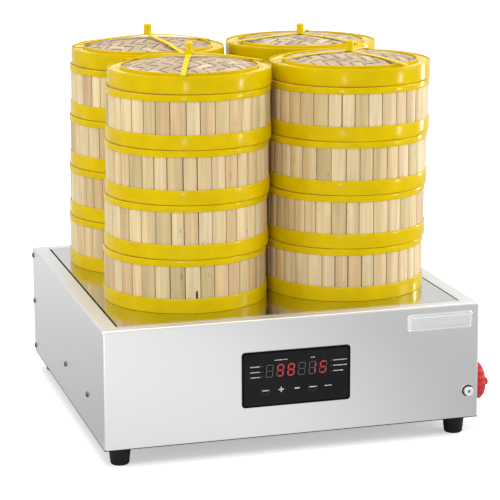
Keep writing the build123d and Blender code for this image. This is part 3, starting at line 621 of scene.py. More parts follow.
# Control panel, its film, digits and marks. Places are measured from the case's middle and the counter.
# Levels are an inset and a height over the face
panelParts = {"x": 0.0005, "z": 0.0935, "width": 0.133, "height": 0.067, "thick": 0.0012, "corner": 0.004,
              "levels": ((0, 0), (0, 0.0009), (0.0001, 0.0011), (0.0004, 0.0012)),
              "border": 0.0026, "filmCorner": 0.0024, "filmSunk": 0.0002,
              "filmLevels": ((0, 0), (0, 0.00025), (0.0002, 0.00035))}
digitParts = {"width": 0.0086, "height": 0.0152, "bar": 0.00175, "dimShare": 0.42, "gap": 0.0004, "slant": 0.09,
              "firstX": -0.0325, "pitch": 0.0131, "z": 0.1029, "shown": " 98 15"}
segmentsOf = {"9": "abcdfg", "8": "abcdefg", "1": "bc", "5": "acdfg", " ": ""}
inkParts = {"proud": 0.00008, "depth": 0.00006, "thinDepth": 0.00005}


# A printed mark: its outline stands a hair in front of the face and is as deep to the front as to the back
def printedMark(outline, x, z, faceY, depth=inkParts["depth"]):
    outline = np.asarray(outline, float)
    rows = []
    for y in (faceY - inkParts["proud"] + depth, faceY - inkParts["proud"] - depth):
        rows.append(np.stack([x + outline[:, 0], np.full(len(outline), y), z + outline[:, 1]], -1))
    return gridShape(np.array(rows), wrapCols=True, caps=True)


# Seven bars of a digit: each is a long hexagon, lying or standing, and leans with the slant
def digitBars(width, height, bar):
    halfW, halfH = width / 2 - bar / 2, height / 2 - bar / 2
    gap = digitParts["gap"]
    end, reach = bar / 2 + gap, halfH / 2
    lying = [(-halfW + gap, 0), (-halfW + end, bar / 2), (halfW - end, bar / 2), (halfW - gap, 0),
             (halfW - end, -bar / 2), (-halfW + end, -bar / 2)]
    standing = [(0, -reach + gap), (bar / 2, -reach + end), (bar / 2, reach - end), (0, reach - gap),
                (-bar / 2, reach - end), (-bar / 2, -reach + end)]
    bars = {"a": (lying, 0, halfH), "g": (lying, 0, 0), "d": (lying, 0, -halfH), "f": (standing, -halfW, reach),
            "b": (standing, halfW, reach), "e": (standing, -halfW, -reach), "c": (standing, halfW, -reach)}
    return {key: np.array(outline) + (dx, dz) for key, (outline, dx, dz) in bars.items()}


# A black frame with rounded edges, and a film set into it; gives the film's face
def makePanel():
    parts = panelParts
    x, z = caseX + parts["x"], parts["z"]
    width, height, border = parts["width"], parts["height"], parts["border"]
    outer = frontPlate(x, z, frontY, width, height, parts["corner"], parts["levels"])
    makePiece("panelFrame", [outer], "case", panelBlack, ["control_panel"])
    filmY = frontY - parts["thick"] + parts["filmSunk"]
    inner = frontPlate(x, z, filmY, width - 2 * border, height - 2 * border, parts["filmCorner"], parts["filmLevels"])
    makePiece("panelFilm", [inner], "case", filmBlack)
    return filmY - parts["filmLevels"][-1][1]


# Lit bars stand at full width, dim ones as thin lines; each place leans by a share of its height
def makeDigits(faceY):
    parts = digitParts
    lit, dim = [], []
    bars = digitBars(parts["width"], parts["height"], parts["bar"])
    thin = digitBars(parts["width"], parts["height"], parts["bar"] * parts["dimShare"])
    for place, shown in enumerate(parts["shown"]):
        x = caseX + parts["firstX"] + place * parts["pitch"]
        for key in bars:
            isLit = key in segmentsOf[shown]
            outline = (bars if isLit else thin)[key]
            leaned = outline + np.column_stack([outline[:, 1] * parts["slant"], np.zeros(len(outline))])
            (lit if isLit else dim).append(printedMark(leaned, x, parts["z"], faceY))
    makePiece("digitsLit", lit, "case", digitRed, ["display_modules"])
    makePiece("digitsDim", dim, "case", digitOff)


# Each side has rows of a line and a dot: the rows' heights, a line's two ends, the dot's place, and how much
# shorter each line is
markParts = {"leftSide": ((0.1092, 0.1026, 0.0964), (-0.0560, -0.0443), -0.0416, (0, 0, 0)),
             "rightSide": ((0.1099, 0.1034, 0.0969), (0.0455, 0.0625), 0.0429, (0, 0, 0.0045)),
             "lineHeight": 0.0011, "dot": 0.0016, "dotCorner": 0.00079,
             "captions": ((-0.0266, -0.0105), (0.0177, 0.0231)), "captionZ": 0.1156, "captionHeight": 0.0010,
             "keys": (-0.0375, -0.0184, 0.0011, 0.0206, 0.0393), "keyZ": 0.0796,
             "signLong": 0.0062, "signWide": 0.0012, "signCorner": 0.0003,
             "keyLine": 0.0088, "keyLineHeight": 0.0013, "ring": (0.0056, 0.0053), "ringArc": (pi * 0.8, pi * 2.1)}
lineParts = {"narrow": 0.0009, "wide": 0.0021, "gap": 0.00035, "lowest": 0.75, "cornerShare": 0.2, "leftOver": 0.0005}


# A printed line is a row of short bars of uneven width
def lineBars(x0, x1, z, height, faceY):
    parts = lineParts
    shapes = []
    x = x0
    while x < x1 - parts["leftOver"]:
        width = min(draw.uniform(parts["narrow"], parts["wide"]), x1 - x)
        outline = roundedOutline(width, height * draw.uniform(parts["lowest"], 1.0), height * parts["cornerShare"], 2)
        shapes.append(printedMark(outline, x + width / 2, z, faceY, inkParts["thinDepth"]))
        x += width + parts["gap"]
    return shapes


# Part of a thin ring: a flat section is carried round an arc by cosine and sine
def ringShape(x, z, outer, inner, faceY, start, end, steps=36):
    thin = inkParts["thinDepth"]
    y = faceY - inkParts["proud"]
    radius = np.array([inner, outer, outer, inner])
    depth = y + thin * np.array([-1, -1, 1, 1])
    angle = np.linspace(start, end, steps)[:, None]
    points = np.stack(np.broadcast_arrays(x + radius * np.cos(angle), depth, z + radius * np.sin(angle)), -1)
    return gridShape(points, wrapCols=True, caps=True)


# Counted from 0, keys 1 and 2 have a plus and a minus, the others a line, and two of those part of a ring
def makeMarks(faceY):
    parts = markParts
    lines, dots, bright, faint = [], [], [], []
    dot = roundedOutline(parts["dot"], parts["dot"], parts["dotCorner"], 5)
    for side in ("leftSide", "rightSide"):
        rows, (start, end), dotX, cuts = parts[side]
        for z, cut in zip(rows, cuts):
            lines += lineBars(caseX + start, caseX + end - cut, z, parts["lineHeight"], faceY)
            dots.append(printedMark(dot, caseX + dotX, z, faceY))
    for start, end in parts["captions"]:
        lines += lineBars(caseX + start, caseX + end, parts["captionZ"], parts["captionHeight"], faceY)
    long, wide, corner = parts["signLong"], parts["signWide"], parts["signCorner"]
    for number, keyX in enumerate(parts["keys"]):
        x, z = caseX + keyX, parts["keyZ"]
        if number in (1, 2):
            bright.append(printedMark(roundedOutline(long, wide, corner, 3), x, z, faceY))
        if number == 1:
            bright.append(printedMark(roundedOutline(wide, long, corner, 3), x, z, faceY))
        if number in (0, 3, 4):
            half = parts["keyLine"] / 2
            lines += lineBars(x - half, x + half, z, parts["keyLineHeight"], faceY)
        if number in (0, 3):
            faint.append(ringShape(x, z, *parts["ring"], faceY, *parts["ringArc"]))
    makePiece("panelWords", lines, "case", markGrey)
    makePiece("panelDots", dots, "case", markFaint)
    makePiece("keySigns", bright, "case", markWhite)
    makePiece("keyRings", faint, "case", markFaint)


panelFace = makePanel()
makeDigits(panelFace)
makeMarks(panelFace)

badgeParts = {"corner": 0.0036, "edge": 0.0010, "rim": 0.0016, "groove": 0.0006, "recess": 0.0005}


# A bare pressed plate: its rim is rounded over, and the field inside lies slightly lower
def makeBadge():
    parts = badgeParts
    low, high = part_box("name_plate")
    thick = high.y - low.y
    edge, rim, groove, floor = parts["edge"], parts["rim"], parts["groove"], thick - parts["recess"]
    levels = ((0, 0), (0, thick * 0.3), (edge * 0.4, thick * 0.8), (edge, thick), (rim, thick),
              (rim + groove, floor), (rim + 2 * groove, floor), (rim + 3 * groove, thick * 0.8),
              (rim + 7 * groove, thick * 0.9))
    shape = frontPlate((low.x + high.x) / 2, (low.z + high.z) / 2, frontY, high.x - low.x, high.z - low.z,
                       parts["corner"], levels)
    makePiece("badgePlate", [shape], "case", plateSilver, ["name_plate"])


makeBadge()
print("front details made")

spoutParts = {"shank": 0.0047, "end": 0.0055, "bore": 0.0019, "lip": 0.0005, "edge": 0.0006, "ballDepth": 0.0034}


# A turned outlet: the bore is closed by the ball's rounded face, the end is wider than the shank
def makeSpout():
    parts = spoutParts
    low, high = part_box("drain_spout")
    length = high.y - low.y
    shoulder = frontY - parts["lip"] - low.y
    bore, end, shank, edge, ball = (parts[key] for key in ("bore", "end", "shank", "edge", "ballDepth"))
    profile = ((0, ball), (bore * 0.6, ball * 1.3), (bore, ball * 2), (bore, edge * 0.5), (bore + edge * 0.5, 0),
               (end - edge, 0), (end, edge), (end, shoulder - edge), (end - edge * 0.5, shoulder),
               (shank, shoulder), (shank, length), (0, length))
    place = ((low.x + high.x) / 2, low.y, (low.z + high.z) / 2)
    shape = turned(lathe(profile, (0, 0, 0), 40), (0, 1, 0), place)
    makePiece("drainSpout", [shape], "case", zincWhite, ["drain_spout"])


makeSpout()

wheelParts = {"radius": 0.0234, "rim": 0.0116, "lobes": 18, "lobeDepth": 0.0012, "dome": 0.0150,
              "domeRadius": 0.0130, "grip": 0.0050, "gripWidth": 0.0090, "gripLength": 0.0260, "gripCorner": 0.0040,
              "gripSunk": 0.005, "gripEdge": 0.0016, "gripRound": 0.0005, "spindle": 0.003,
              "backFlat": 0.004, "edgeIn": 0.0008, "edgeUp": 0.0004, "backEdge": 0.0012, "frontEdge": 0.0018,
              "faceStep": 0.002, "crown": 0.0003}


# The rim's radius is the wheel's radius less a share of the lobes' cosine; the face falls off as an ellipse
def makeWheel():
    parts = wheelParts
    low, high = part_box("drain_wheel")
    y, z = (low.y + high.y) / 2, (low.z + high.z) / 2
    full, rim, dome, inner = parts["radius"], parts["rim"], parts["dome"], parts["domeRadius"]
    back = high.x - parts["grip"] - dome
    edgeIn, edgeUp, crown = parts["edgeIn"], parts["edgeUp"], parts["crown"]
    turn = np.linspace(0, pi / 2, 9)
    face = np.column_stack([inner + (full - parts["faceStep"] - inner) * np.cos(turn),
                            rim + (dome - rim) * np.sin(turn)])
    profile = np.array([(0, 0), (full - parts["backFlat"], 0), (full - edgeIn, edgeUp), (full, parts["backEdge"]),
                        (full, rim - parts["frontEdge"]), (full - edgeIn, rim - edgeUp), *face,
                        (inner * 0.5, dome + crown * 2 / 3), (0, dome + crown)])
    segments = parts["lobes"] * 12
    angle = np.arange(segments) * 2 * pi / segments
    lobe = np.clip(np.cos(parts["lobes"] * angle) * 1.6, -1, 1) * parts["lobeDepth"] / 2
    share = np.clip((profile[:, 0] - inner) / (full - inner), 0, 1) ** 2
    radius = profile[None, :, 0] + lobe[:, None] * share[None] - parts["lobeDepth"] / 2 * share[None]
    points = np.stack([radius * np.cos(angle)[:, None], radius * np.sin(angle)[:, None],
                       np.broadcast_to(profile[None, :, 1], radius.shape)], -1)
    body = turned(gridShape(points, wrapRows=True), (1, 0, 0), (back, y, z))
    gripTop = dome + parts["grip"]
    gripEdge, gripRound = parts["gripEdge"], parts["gripRound"]
    rows = []
    for inset, height in ((0, dome - parts["gripSunk"]), (0, gripTop - gripEdge), (gripRound, gripTop - gripRound),
                          (gripEdge, gripTop)):
        outline = roundedOutline(parts["gripLength"] - 2 * inset, parts["gripWidth"] - 2 * inset,
                                 parts["gripCorner"] - inset)
        rows.append(np.column_stack([np.full(len(outline), back + height), y + outline[:, 0], z + outline[:, 1]]))
    grip = gridShape(np.array(rows), wrapCols=True, caps=True)
    bar, reach = parts["spindle"], back - low.x
    spindle = turned(lathe(((0, 0), (bar, 0), (bar, reach), (0, reach)), (0, 0, 0), 20), (1, 0, 0), (low.x, y, z))
    makePiece("drainWheel", [body, grip, spindle], "wheel", wheelRed, ["drain_wheel"])


makeWheel()
print("drain pieces made")


# Baskets. The solids' sixteen flats lie as far inside the true round as their corners lie outside it
def trueRadius(node):
    low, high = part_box(node)
    flat = cos(pi / 16)
    return (high.x - low.x) / 2 * (1 + flat) / (2 * flat)


basketParts = {"slats": 36, "widthJitter": 0.16, "slatThick": 0.0024, "innerThick": 0.0020, "layerGap": 0.0005,
               "seam": 0.00080, "radialJitter": 0.00022, "edgeDrop": 0.00035, "wall": 0.005, "wallGap": 0.0003,
               "lowBand": 0.0177, "topBand": 0.0084, "band": 0.0012, "topInset": 0.0003, "bandDrop": 0.0003,
               "lapStep": 1.5, "floorRise": 0.004, "battenWidth": 0.008, "battenHeight": 0.003,
               "battenSpacing": 0.084, "battenCorner": 0.0006, "floorSlats": 9, "floorGap": 0.003,
               "floorHeight": 0.0025, "floorEdge": 0.0005, "floorLowEdge": 0.0004, "floorReach": 0.985,
               "floorTones": (0.2, 0.7), "battenTone": 0.4, "outerEnds": (0.0006, 0.0005),
               "innerEnds": (0.0004, 0.0003), "coreEnds": 0.0010, "coreGap": 0.0002, "coreThick": 0.0003,
               "uvWidth": 0.018}
# Most slats lie round a middle tone; by chance some are olive and some brown
slatTones = {"middle": 0.52, "spread": 0.16, "least": 0.16, "most": 0.9, "oliveShare": 0.14, "olive": (0.05, 0.2),
             "brownFrom": 0.90, "brown": (0.8, 1.0)}


# Upright slats round a circle. Each slat's section is a shallow arc: its middle lies on the circle and its
# edges fall back a little; widths vary, and each slat leans in or out by a hair
def slatRing(centre, radius, thick, low, high, count, turn, levels=5):
    parts = basketParts
    width = 1 + draw.uniform(-parts["widthJitter"], parts["widthJitter"], count)
    ends = np.concatenate([[0], np.cumsum(width)]) / width.sum() * 2 * pi + turn
    seam = parts["seam"] / radius * draw.uniform(0.5, 1.6, count)
    start, stop = ends[:-1] + seam / 2, ends[1:] - seam / 2
    fall = parts["edgeDrop"]
    share = np.array([0.0, 0.04, 0.5, 0.96, 1.0, 1.0, 0.5, 0.0])
    drop = np.array([fall * 1.6, fall * 0.4, 0, fall * 0.4, fall * 1.6, thick, thick, thick])
    angle = start[:, None, None] + (stop - start)[:, None, None] * share[None, None, :]
    jitter = draw.uniform(-1, 0, (count, 1, 1)) * parts["radialJitter"]
    lean = draw.uniform(-1, 1, (count, 1, 1)) * parts["radialJitter"] * 0.5
    step = np.linspace(-1, 1, levels)[None, :, None]
    reach = radius + jitter + lean * step - drop[None, None, :]
    angle = np.broadcast_to(angle, reach.shape)
    height = np.broadcast_to((low + high) / 2 + (high - low) / 2 * step, reach.shape)
    points = np.stack([centre[0] + reach * np.cos(angle), centre[1] + reach * np.sin(angle), height], -1)
    tones = slatTones
    tone = np.clip(draw.normal(tones["middle"], tones["spread"], count), tones["least"], tones["most"])
    odd = draw.random(count)
    tone = np.where(odd < tones["oliveShare"], draw.uniform(*tones["olive"], count), tone)
    tone = np.where(odd > tones["brownFrom"], draw.uniform(*tones["brown"], count), tone)
    return gridShape(points, wrapCols=True, caps=True, uvSize=(parts["uvWidth"], high - low),
                     uvShift=draw.uniform(0, uvReach, (count, 2)), tone=tone)


# A thin dark sheet between the two layers is painted shade: it shows dark where a seam stands open
def seamShadeSheet(centre, radius, low, high):
    inner = radius - basketParts["coreThick"]
    profile = [(inner, low), (radius, low), (radius, high), (inner, high)]
    # tone 0 picks the wall ramp's painted shade
    return lathe(profile, (*centre, 0), 72, None, 0.0)


# Slats that stand apart at the foot of a wall: degrees to the right of the view's middle, width and height
openSlits = {"basket_front_left_1": (8.0, 0.0026, 0.0095)}
slitParts = {"sunk": 0.001, "proud": 0.00008, "depth": 0.002, "straight": 0.6, "topWidth": 0.6}


# A dark wedge of painted shade, where the slats stand apart, follows the wall's round; it narrows over its upper part
def slitShadeWedge(centre, radius, low, slit):
    parts = slitParts
    turnRight, width, height = slit
    toView = np.arctan2(caseY + cameraParts["y"] - centre[1], caseX + cameraParts["x"] - centre[0])
    ahead = toView + radians(turnRight)
    half = width / 2 / radius
    reach = radius + np.array([parts["proud"], parts["proud"], -parts["depth"], -parts["depth"]])
    rows = []
    for z, narrow in ((low - parts["sunk"], 1.0), (low + height * parts["straight"], 1.0),
                      (low + height, parts["topWidth"])):
        angles = ahead + half * narrow * np.array([-1, 1, 1, -1])
        rows.append(np.column_stack([centre[0] + reach * np.cos(angles), centre[1] + reach * np.sin(angles),
                                     np.full(4, z)]))
    # tone 0 picks the wall ramp's painted shade
    return gridShape(np.array(rows), wrapCols=True, caps=True, tone=0.0)


bandParts = {"edge": 0.0008, "swell": 0.00025, "groove": 0.00006, "windings": 2, "lapLength": 0.30,
             "lapRise": 0.00035, "lapSlope": 0.05}


# A wound band: its outer face swells a little, with rounded edges and fine winding lines, and one end laps over
def bandShape(centre, outer, inner, low, high, lapAngle):
    parts = bandParts
    edge, swell = parts["edge"], parts["swell"]
    arc = np.linspace(0, pi / 2, 4)
    side = outer - swell - edge
    share = np.linspace(-1, 1, 4 * parts["windings"] + 1)[1:-1]
    groove = np.where(np.arange(1, len(share) + 1) % 4 == 0, parts["groove"], 0)
    radius = np.concatenate([[inner], side + edge * np.sin(arc), outer - swell * share * share - groove,
                             side + edge * np.cos(arc), [inner]])
    height = np.concatenate([[low], low + edge - edge * np.cos(arc),
                             (low + high) / 2 + ((high - low) / 2 - edge) * share,
                             high - edge + edge * np.sin(arc), [high]])

    def lap(angle):
        past = (angle - lapAngle) % (2 * pi)
        rise = parts["lapRise"] * np.clip(past / parts["lapSlope"], 0, 1)
        return np.where(past < parts["lapLength"], rise, 0.0)

    return lathe(np.column_stack([radius, height]), (*centre, 0), 128, lap)


# Slats side by side inside a circle: each is as long as the circle lets its farther edge be
def floorSlats(centre, reach, low, high, count, gap):
    parts = basketParts
    width = (2 * reach - (count - 1) * gap) / count
    side, edge, lowEdge = width / 2, parts["floorEdge"], parts["floorLowEdge"]
    section = [(-side, low + lowEdge), (-side + lowEdge, low), (side - lowEdge, low), (side, low + lowEdge),
               (side, high - edge), (side - edge, high), (-side + edge, high), (-side, high - edge)]
    shapes = []
    for number in range(count):
        middle = (number - (count - 1) / 2) * (width + gap)
        far = min(abs(middle) + width / 2, reach * parts["floorReach"])
        half = (reach**2 - far**2) ** 0.5
        along = np.linspace(-half, half, 4)
        path = np.column_stack([np.full(4, centre[0] + middle), centre[1] + along, np.zeros(4)])
        tone, shift = draw.uniform(*parts["floorTones"]), draw.uniform(0, uvReach, 2)
        shapes.append(sweep(path, (1, 0, 0), (0, 0, 1), section, tone, shift))
    return shapes


# Two layers of slats with a dark sheet of painted shade between them, a floor of slats on two battens, and two bands
def makeBasket(node):
    parts = basketParts
    low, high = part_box(node)
    centre = ((low.x + high.x) / 2, (low.y + high.y) / 2)
    outer = trueRadius(node + "_bands")
    wall = outer - parts["band"]
    turn = draw.uniform(0, 2 * pi)
    between = wall - parts["slatThick"]
    outerLow, outerTop = parts["outerEnds"]
    innerLow, innerTop = parts["innerEnds"]
    slats = [
        slatRing(centre, wall, parts["slatThick"], low.z + outerLow, high.z - outerTop, parts["slats"], turn),
        slatRing(centre, between - parts["layerGap"], parts["innerThick"], low.z + innerLow, high.z - innerTop,
                 parts["slats"], turn + pi / parts["slats"], 3),
        seamShadeSheet(centre, between - parts["coreGap"], low.z + parts["coreEnds"], high.z - parts["coreEnds"])]
    if node in openSlits:
        slats.append(slitShadeWedge(centre, wall, low.z + parts["lowBand"], openSlits[node]))
    makePiece(node + "_slats", slats, node, wallBambooAndGapShade, [node])
    inside = wall - parts["wall"] - parts["wallGap"]
    rise = low.z + parts["floorRise"]
    floorLow = rise + parts["battenHeight"]
    floor = floorSlats(centre, inside, floorLow, floorLow + parts["floorHeight"], parts["floorSlats"],
                       parts["floorGap"])
    half = (inside**2 - (parts["battenSpacing"] / 2 + parts["battenWidth"] / 2) ** 2) ** 0.5
    section = (roundedOutline(parts["battenWidth"], parts["battenHeight"], parts["battenCorner"], 3)
               + (0, parts["battenHeight"] / 2))
    for side in (-1, 1):
        y = centre[1] + side * parts["battenSpacing"] / 2
        path = [(centre[0] - half, y, rise), (centre[0], y, rise), (centre[0] + half, y, rise)]
        floor.append(sweep(path, (0, 1, 0), (0, 0, 1), section, parts["battenTone"]))
    makePiece(node + "_floor", floor, node, wallBambooAndGapShade)
    lap = draw.uniform(0, 2 * pi)
    bands = [bandShape(centre, outer, wall, low.z, low.z + parts["lowBand"], lap),
             bandShape(centre, outer - parts["topInset"], wall, high.z - parts["topBand"],
                       high.z - parts["bandDrop"], lap + parts["lapStep"])]
    makePiece(node + "_hoops", bands, node, bandYellow, [node + "_bands"])


for stack in stackNames:
    for tier in range(tierCount):
        makeBasket(f"basket_{stack}_{tier + 1}")
print("baskets made")


# Lids. Each one has its own dome rise, weave direction, and three strap legs
lidParts = {"height": 0.021, "hoopWidth": 0.014, "hoopLayers": 5, "hoopGap": 0.0001, "hoopEdge": 0.0004,
            "band": 0.0012, "proud": 0.002, "collarWall": 0.0016, "collarProud": 0.0020, "collarEdge": 0.0004,
            "hoopFoot": 0.0003, "hoopUneven": 0.0005, "edgeDrop": 0.0020, "collarGap": 0.0003, "collarSunk": 0.001,
            "liningGap": 0.0003, "liningDrop": 0.0016, "liningThick": 0.0008}
# A leg's line passes over the collar's shoulder; arch is how far it stays over the dome there. The knob's foot
# and lip are rounded by a step in and a step up or down
strapParts = {"width": 0.0062, "thick": 0.0012, "edge": 0.0003, "topEdge": 0.0005, "sideShare": 0.7,
              "valleyAt": 0.25, "valleyShare": 0.85, "ridgeShare": 1.1, "shoulder": 0.001, "sagAt": 0.6, "sag": 0.45,
              "archShare": 0.64, "archLift": 0.0016, "gap": 0.0002, "endInset": 0.0012}
knobParts = {"radius": 0.005, "height": 0.0135, "foot": (0.0008, 0.0009), "lip": (0.0009, 0.0012), "waist": 0.97,
             "hole": (0.45, 0.4), "holeDepth": 0.0015}
# A strip dives between two cross strips, from one share of a pitch on and over another
weaveParts = {"pitch": 0.0118, "width": 0.0108, "thick": 0.0007, "lift": 0.00090, "rimGap": 0.0026,
              "shortest": 0.006, "diveFrom": 0.32, "diveOver": 0.36, "uvWidth": 0.022}
lidShapes = {
    "front_left": {"rise": 0.0105, "arch": 0.0055, "legs": (251, 9, 129), "weave": 28, "zigzag": False},
    "front_right": {"rise": 0.0096, "arch": 0.0017, "legs": (297, 57, 177), "weave": 10, "zigzag": False},
    "back_left": {"rise": 0.0105, "arch": 0.0055, "legs": (284, 21, 164), "weave": 52, "zigzag": False},
    "back_right": {"rise": 0.0077, "arch": 0.0016, "legs": (307, 67, 187), "weave": 40, "zigzag": True},
}


# The dome falls off as a parabola: its rise is taken times one less the squared share of the radius
def domeHeight(x, y, reach, edge, rise):
    return edge + rise * (1 - (x**2 + y**2) / reach**2)


# A strip goes over two cross strips and under the next two; its height swings from side to side between them.
# Its ends are cut on the circle, point by point across its width. A zigzag weave folds back every four strips
def weaveStrips(centre, reach, edge, rise, weave, zigzag):
    parts = weaveParts
    pitch, width, thick = parts["pitch"], parts["width"], parts["thick"]
    count = int(reach / pitch)
    rim = reach - parts["rimGap"]
    across = np.array([-0.5, -0.3, 0.3, 0.5, 0.3, -0.3]) * width
    section = np.array([-0.35, 0.15, 0.15, -0.35, -0.85, -0.85]) * thick
    c, s = cos(radians(weave)), sin(radians(weave))

    def fold(number):
        return np.abs((number + 40) % 8 - 4) if zigzag else number

    def side(direction, number, crossing):
        first, second = (number, crossing) if direction == 0 else (crossing, number)
        return np.where((first + fold(second) + 2 * direction) % 4 < 2, 1.0, -1.0)

    shapes = []
    for direction in (0, 1):
        for number in range(-count, count + 1):
            flat = np.clip(number * pitch + across, -rim * 0.995, rim * 0.995)
            half = np.sqrt(rim**2 - flat**2)
            if half.max() < parts["shortest"]:
                continue
            samples = max(int(half.max() * 2 / pitch * 5), 6)
            along = np.linspace(-1, 1, samples)[:, None] * half[None, :]
            flat = np.broadcast_to(flat[None, :], along.shape)
            place = along / pitch
            cell = np.floor(place)
            part = np.clip((place - cell - parts["diveFrom"]) / parts["diveOver"], 0, 1)
            part = part * part * (3 - 2 * part)
            height = side(direction, number, cell) * (1 - part) + side(direction, number, cell + 1) * part
            x, y = (flat, along) if direction == 0 else (along, flat)
            px, py = x * c - y * s, x * s + y * c
            z = domeHeight(px, py, reach, edge, rise) + height * parts["lift"] + section[None, :]
            points = np.stack([centre[0] + px, centre[1] + py, z], -1)
            shapes.append(gridShape(points, wrapCols=True, caps=True, uvSize=(parts["uvWidth"], 2 * half.max()),
                                    uvShift=draw.uniform(0, uvReach, (1, 2)), tone=draw.uniform(0, 1)))
    return shapes


# Thin rings stand one inside the other, each a little lower or higher than the next
def hoopShapes(centre, outer, inner, low, high):
    parts = lidParts
    gap, edge = parts["hoopGap"], parts["hoopEdge"]
    step = (outer - inner) / parts["hoopLayers"]
    shapes = []
    for layer in range(parts["hoopLayers"]):
        a = inner + step * layer + gap
        b = inner + step * (layer + 1) - gap
        top = high - draw.uniform(0, parts["hoopUneven"])
        profile = [(a, low), (b, low), (b, top - edge), (b - edge, top), (a + edge, top), (a, top - edge)]
        shape = lathe(profile, (*centre, 0), 96, None, draw.uniform(0, 1))
        shape["uv"] = shape["uv"][:, ::-1] + draw.uniform(0, uvReach, 2)
        shapes.append(shape)
    return shapes


# A leg's line runs from the crown over the collar to the outer band. Between two of its four points it is a
# cubic that leaves each one along the line between the neighbours
def strapLeg(centre, angle, points):
    parts = strapParts
    points = np.array(points)
    ends = np.vstack([2 * points[0] - points[1], points, 2 * points[-1] - points[-2]])
    line = []
    for k in range(len(points) - 1):
        p0, p1, p2, p3 = ends[k:k + 4]
        t = np.linspace(0, 1, 10, endpoint=k == len(points) - 2)[:, None]
        bend = (p2 - p0) * t + (2 * p0 - 5 * p1 + 4 * p2 - p3) * t**2 + (3 * p1 - p0 - 3 * p2 + p3) * t**3
        line.append(0.5 * (2 * p1 + bend))
    line = np.vstack(line)
    out = np.array((cos(angle), sin(angle), 0))
    acrossLine = np.array((-sin(angle), cos(angle), 0))
    path = np.array((*centre, 0)) + line[:, :1] * out + line[:, 1:] * np.array((0, 0, 1.0))
    tangent = np.gradient(path, axis=0)
    tangent /= np.linalg.norm(tangent, axis=1)[:, None]
    up = np.cross(tangent, acrossLine)
    up *= np.sign(up[:, 2:3])
    half, thick, edge, topEdge = parts["width"] / 2, parts["thick"], parts["edge"], parts["topEdge"]
    side, at, valley = thick * parts["sideShare"], half * parts["valleyAt"], thick * parts["valleyShare"]
    section = [(-half, edge), (-half + edge, 0), (half - edge, 0), (half, edge), (half, side),
               (half - topEdge, thick), (at, valley), (0, thick * parts["ridgeShare"]), (-at, valley),
               (-half + topEdge, thick), (-half, side)]
    return sweep(path, acrossLine, up, section)


# A turned sleeve with a slight waist: its foot and lip are rounded and its top has a shallow hole
def knobShape(centre, foot):
    parts = knobParts
    radius, tall = parts["radius"], parts["height"]
    footIn, footUp = parts["foot"]
    lipIn, lipDown = parts["lip"]
    wide, narrow = parts["hole"]
    floor = tall - parts["holeDepth"]
    profile = ((0, 0), (radius - footIn, 0), (radius, footUp), (radius * parts["waist"], tall * 0.5),
               (radius, tall - lipDown), (radius - lipIn, tall), (radius * wide, tall), (radius * narrow, floor),
               (0, floor))
    return lathe(profile, (*centre, foot), 32)


# A hoop, the woven dome and its lining, the outer band, the collar, and the strap's legs with the sleeve
def makeLid(stack):
    parts, own = lidParts, lidShapes[stack]
    node = "lid_" + stack
    low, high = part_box(node + "_trim")
    centre = ((low.x + high.x) / 2, (low.y + high.y) / 2)
    outer = trueRadius(node + "_trim")
    base = low.z
    top = base + parts["height"]
    hoopOuter = outer - parts["band"]
    reach = hoopOuter - parts["hoopWidth"]
    edge = top - parts["edgeDrop"]
    hoop = hoopShapes(centre, hoopOuter, reach, base + parts["hoopFoot"], top - parts["proud"])
    makePiece(node + "_hoop", hoop, node, hoopBambooYellowReflection, [node])
    strips = weaveStrips(centre, reach, edge, own["rise"], own["weave"], own["zigzag"])
    makePiece(node + "_weave", strips, node, weaveBamboo)
    # The lining is a real layer; its near-black tone is partly painted shade seen through the gaps between strips
    steps = np.linspace(0, reach - parts["liningGap"], 14)
    topLine = np.column_stack([steps, domeHeight(steps, 0, reach, edge, own["rise"]) - parts["liningDrop"]])
    underLine = topLine[::-1] - (0, parts["liningThick"])
    lining = lathe(np.vstack([topLine, underLine]), (*centre, 0), 64)
    makePiece(node + "_lining", [lining], node, liningBambooAndShade)
    band = bandShape(centre, outer, hoopOuter, base, top, draw.uniform(0, 2 * pi))
    collarOuter = reach - parts["collarGap"]
    collarInner = collarOuter - parts["collarWall"]
    collarLow, collarTop, rim = edge - parts["collarSunk"], top + parts["collarProud"], parts["collarEdge"]
    collar = lathe([(collarInner, collarLow), (collarOuter, collarLow), (collarOuter, collarTop - rim),
                    (collarOuter - rim, collarTop), (collarInner + rim, collarTop), (collarInner, collarTop - rim)],
                   (*centre, 0), 128)
    makePiece(node + "_bandRing", [band, collar], node, bandYellow, [node + "_trim"])
    strap = strapParts
    foot = edge + own["rise"] + own["arch"]
    shoulder = collarOuter + strap["shoulder"]
    lift = max(foot + (collarTop - foot) * strap["sag"], edge + own["rise"] * strap["archShare"] + strap["archLift"])
    leg = [(0, foot), (shoulder * strap["sagAt"], lift), (shoulder, collarTop + strap["gap"]),
           (hoopOuter - strap["endInset"], top + strap["gap"])]
    legs = [strapLeg(centre, radians(angle), leg) for angle in own["legs"]]
    makePiece(node + "_handle", [*legs, knobShape(centre, foot)], node, strapYellow)


for stack in stackNames:
    makeLid(stack)
print("lids made")


# Camera, floor and lights

# The camera is turned to the right, tipped down from level, and rolled a little
def makeCamera():
    parts = cameraParts
    data = bpy.data.cameras.new("viewCamera")
    data.lens = parts["lens"]
    data.sensor_width = parts["sensor"]
    camera = bpy.data.objects.new("viewCamera", data)
    turn = Matrix.Rotation(-parts["yaw"], 4, "Z") @ Matrix.Rotation(pi / 2 - parts["pitch"], 4, "X")
    camera.matrix_world = (Matrix.Translation((caseX + parts["x"], caseY + parts["y"], parts["z"]))
                           @ turn @ Matrix.Rotation(parts["roll"], 4, "Z"))
    bpy.context.scene.collection.objects.link(camera)
    bpy.context.scene.camera = camera


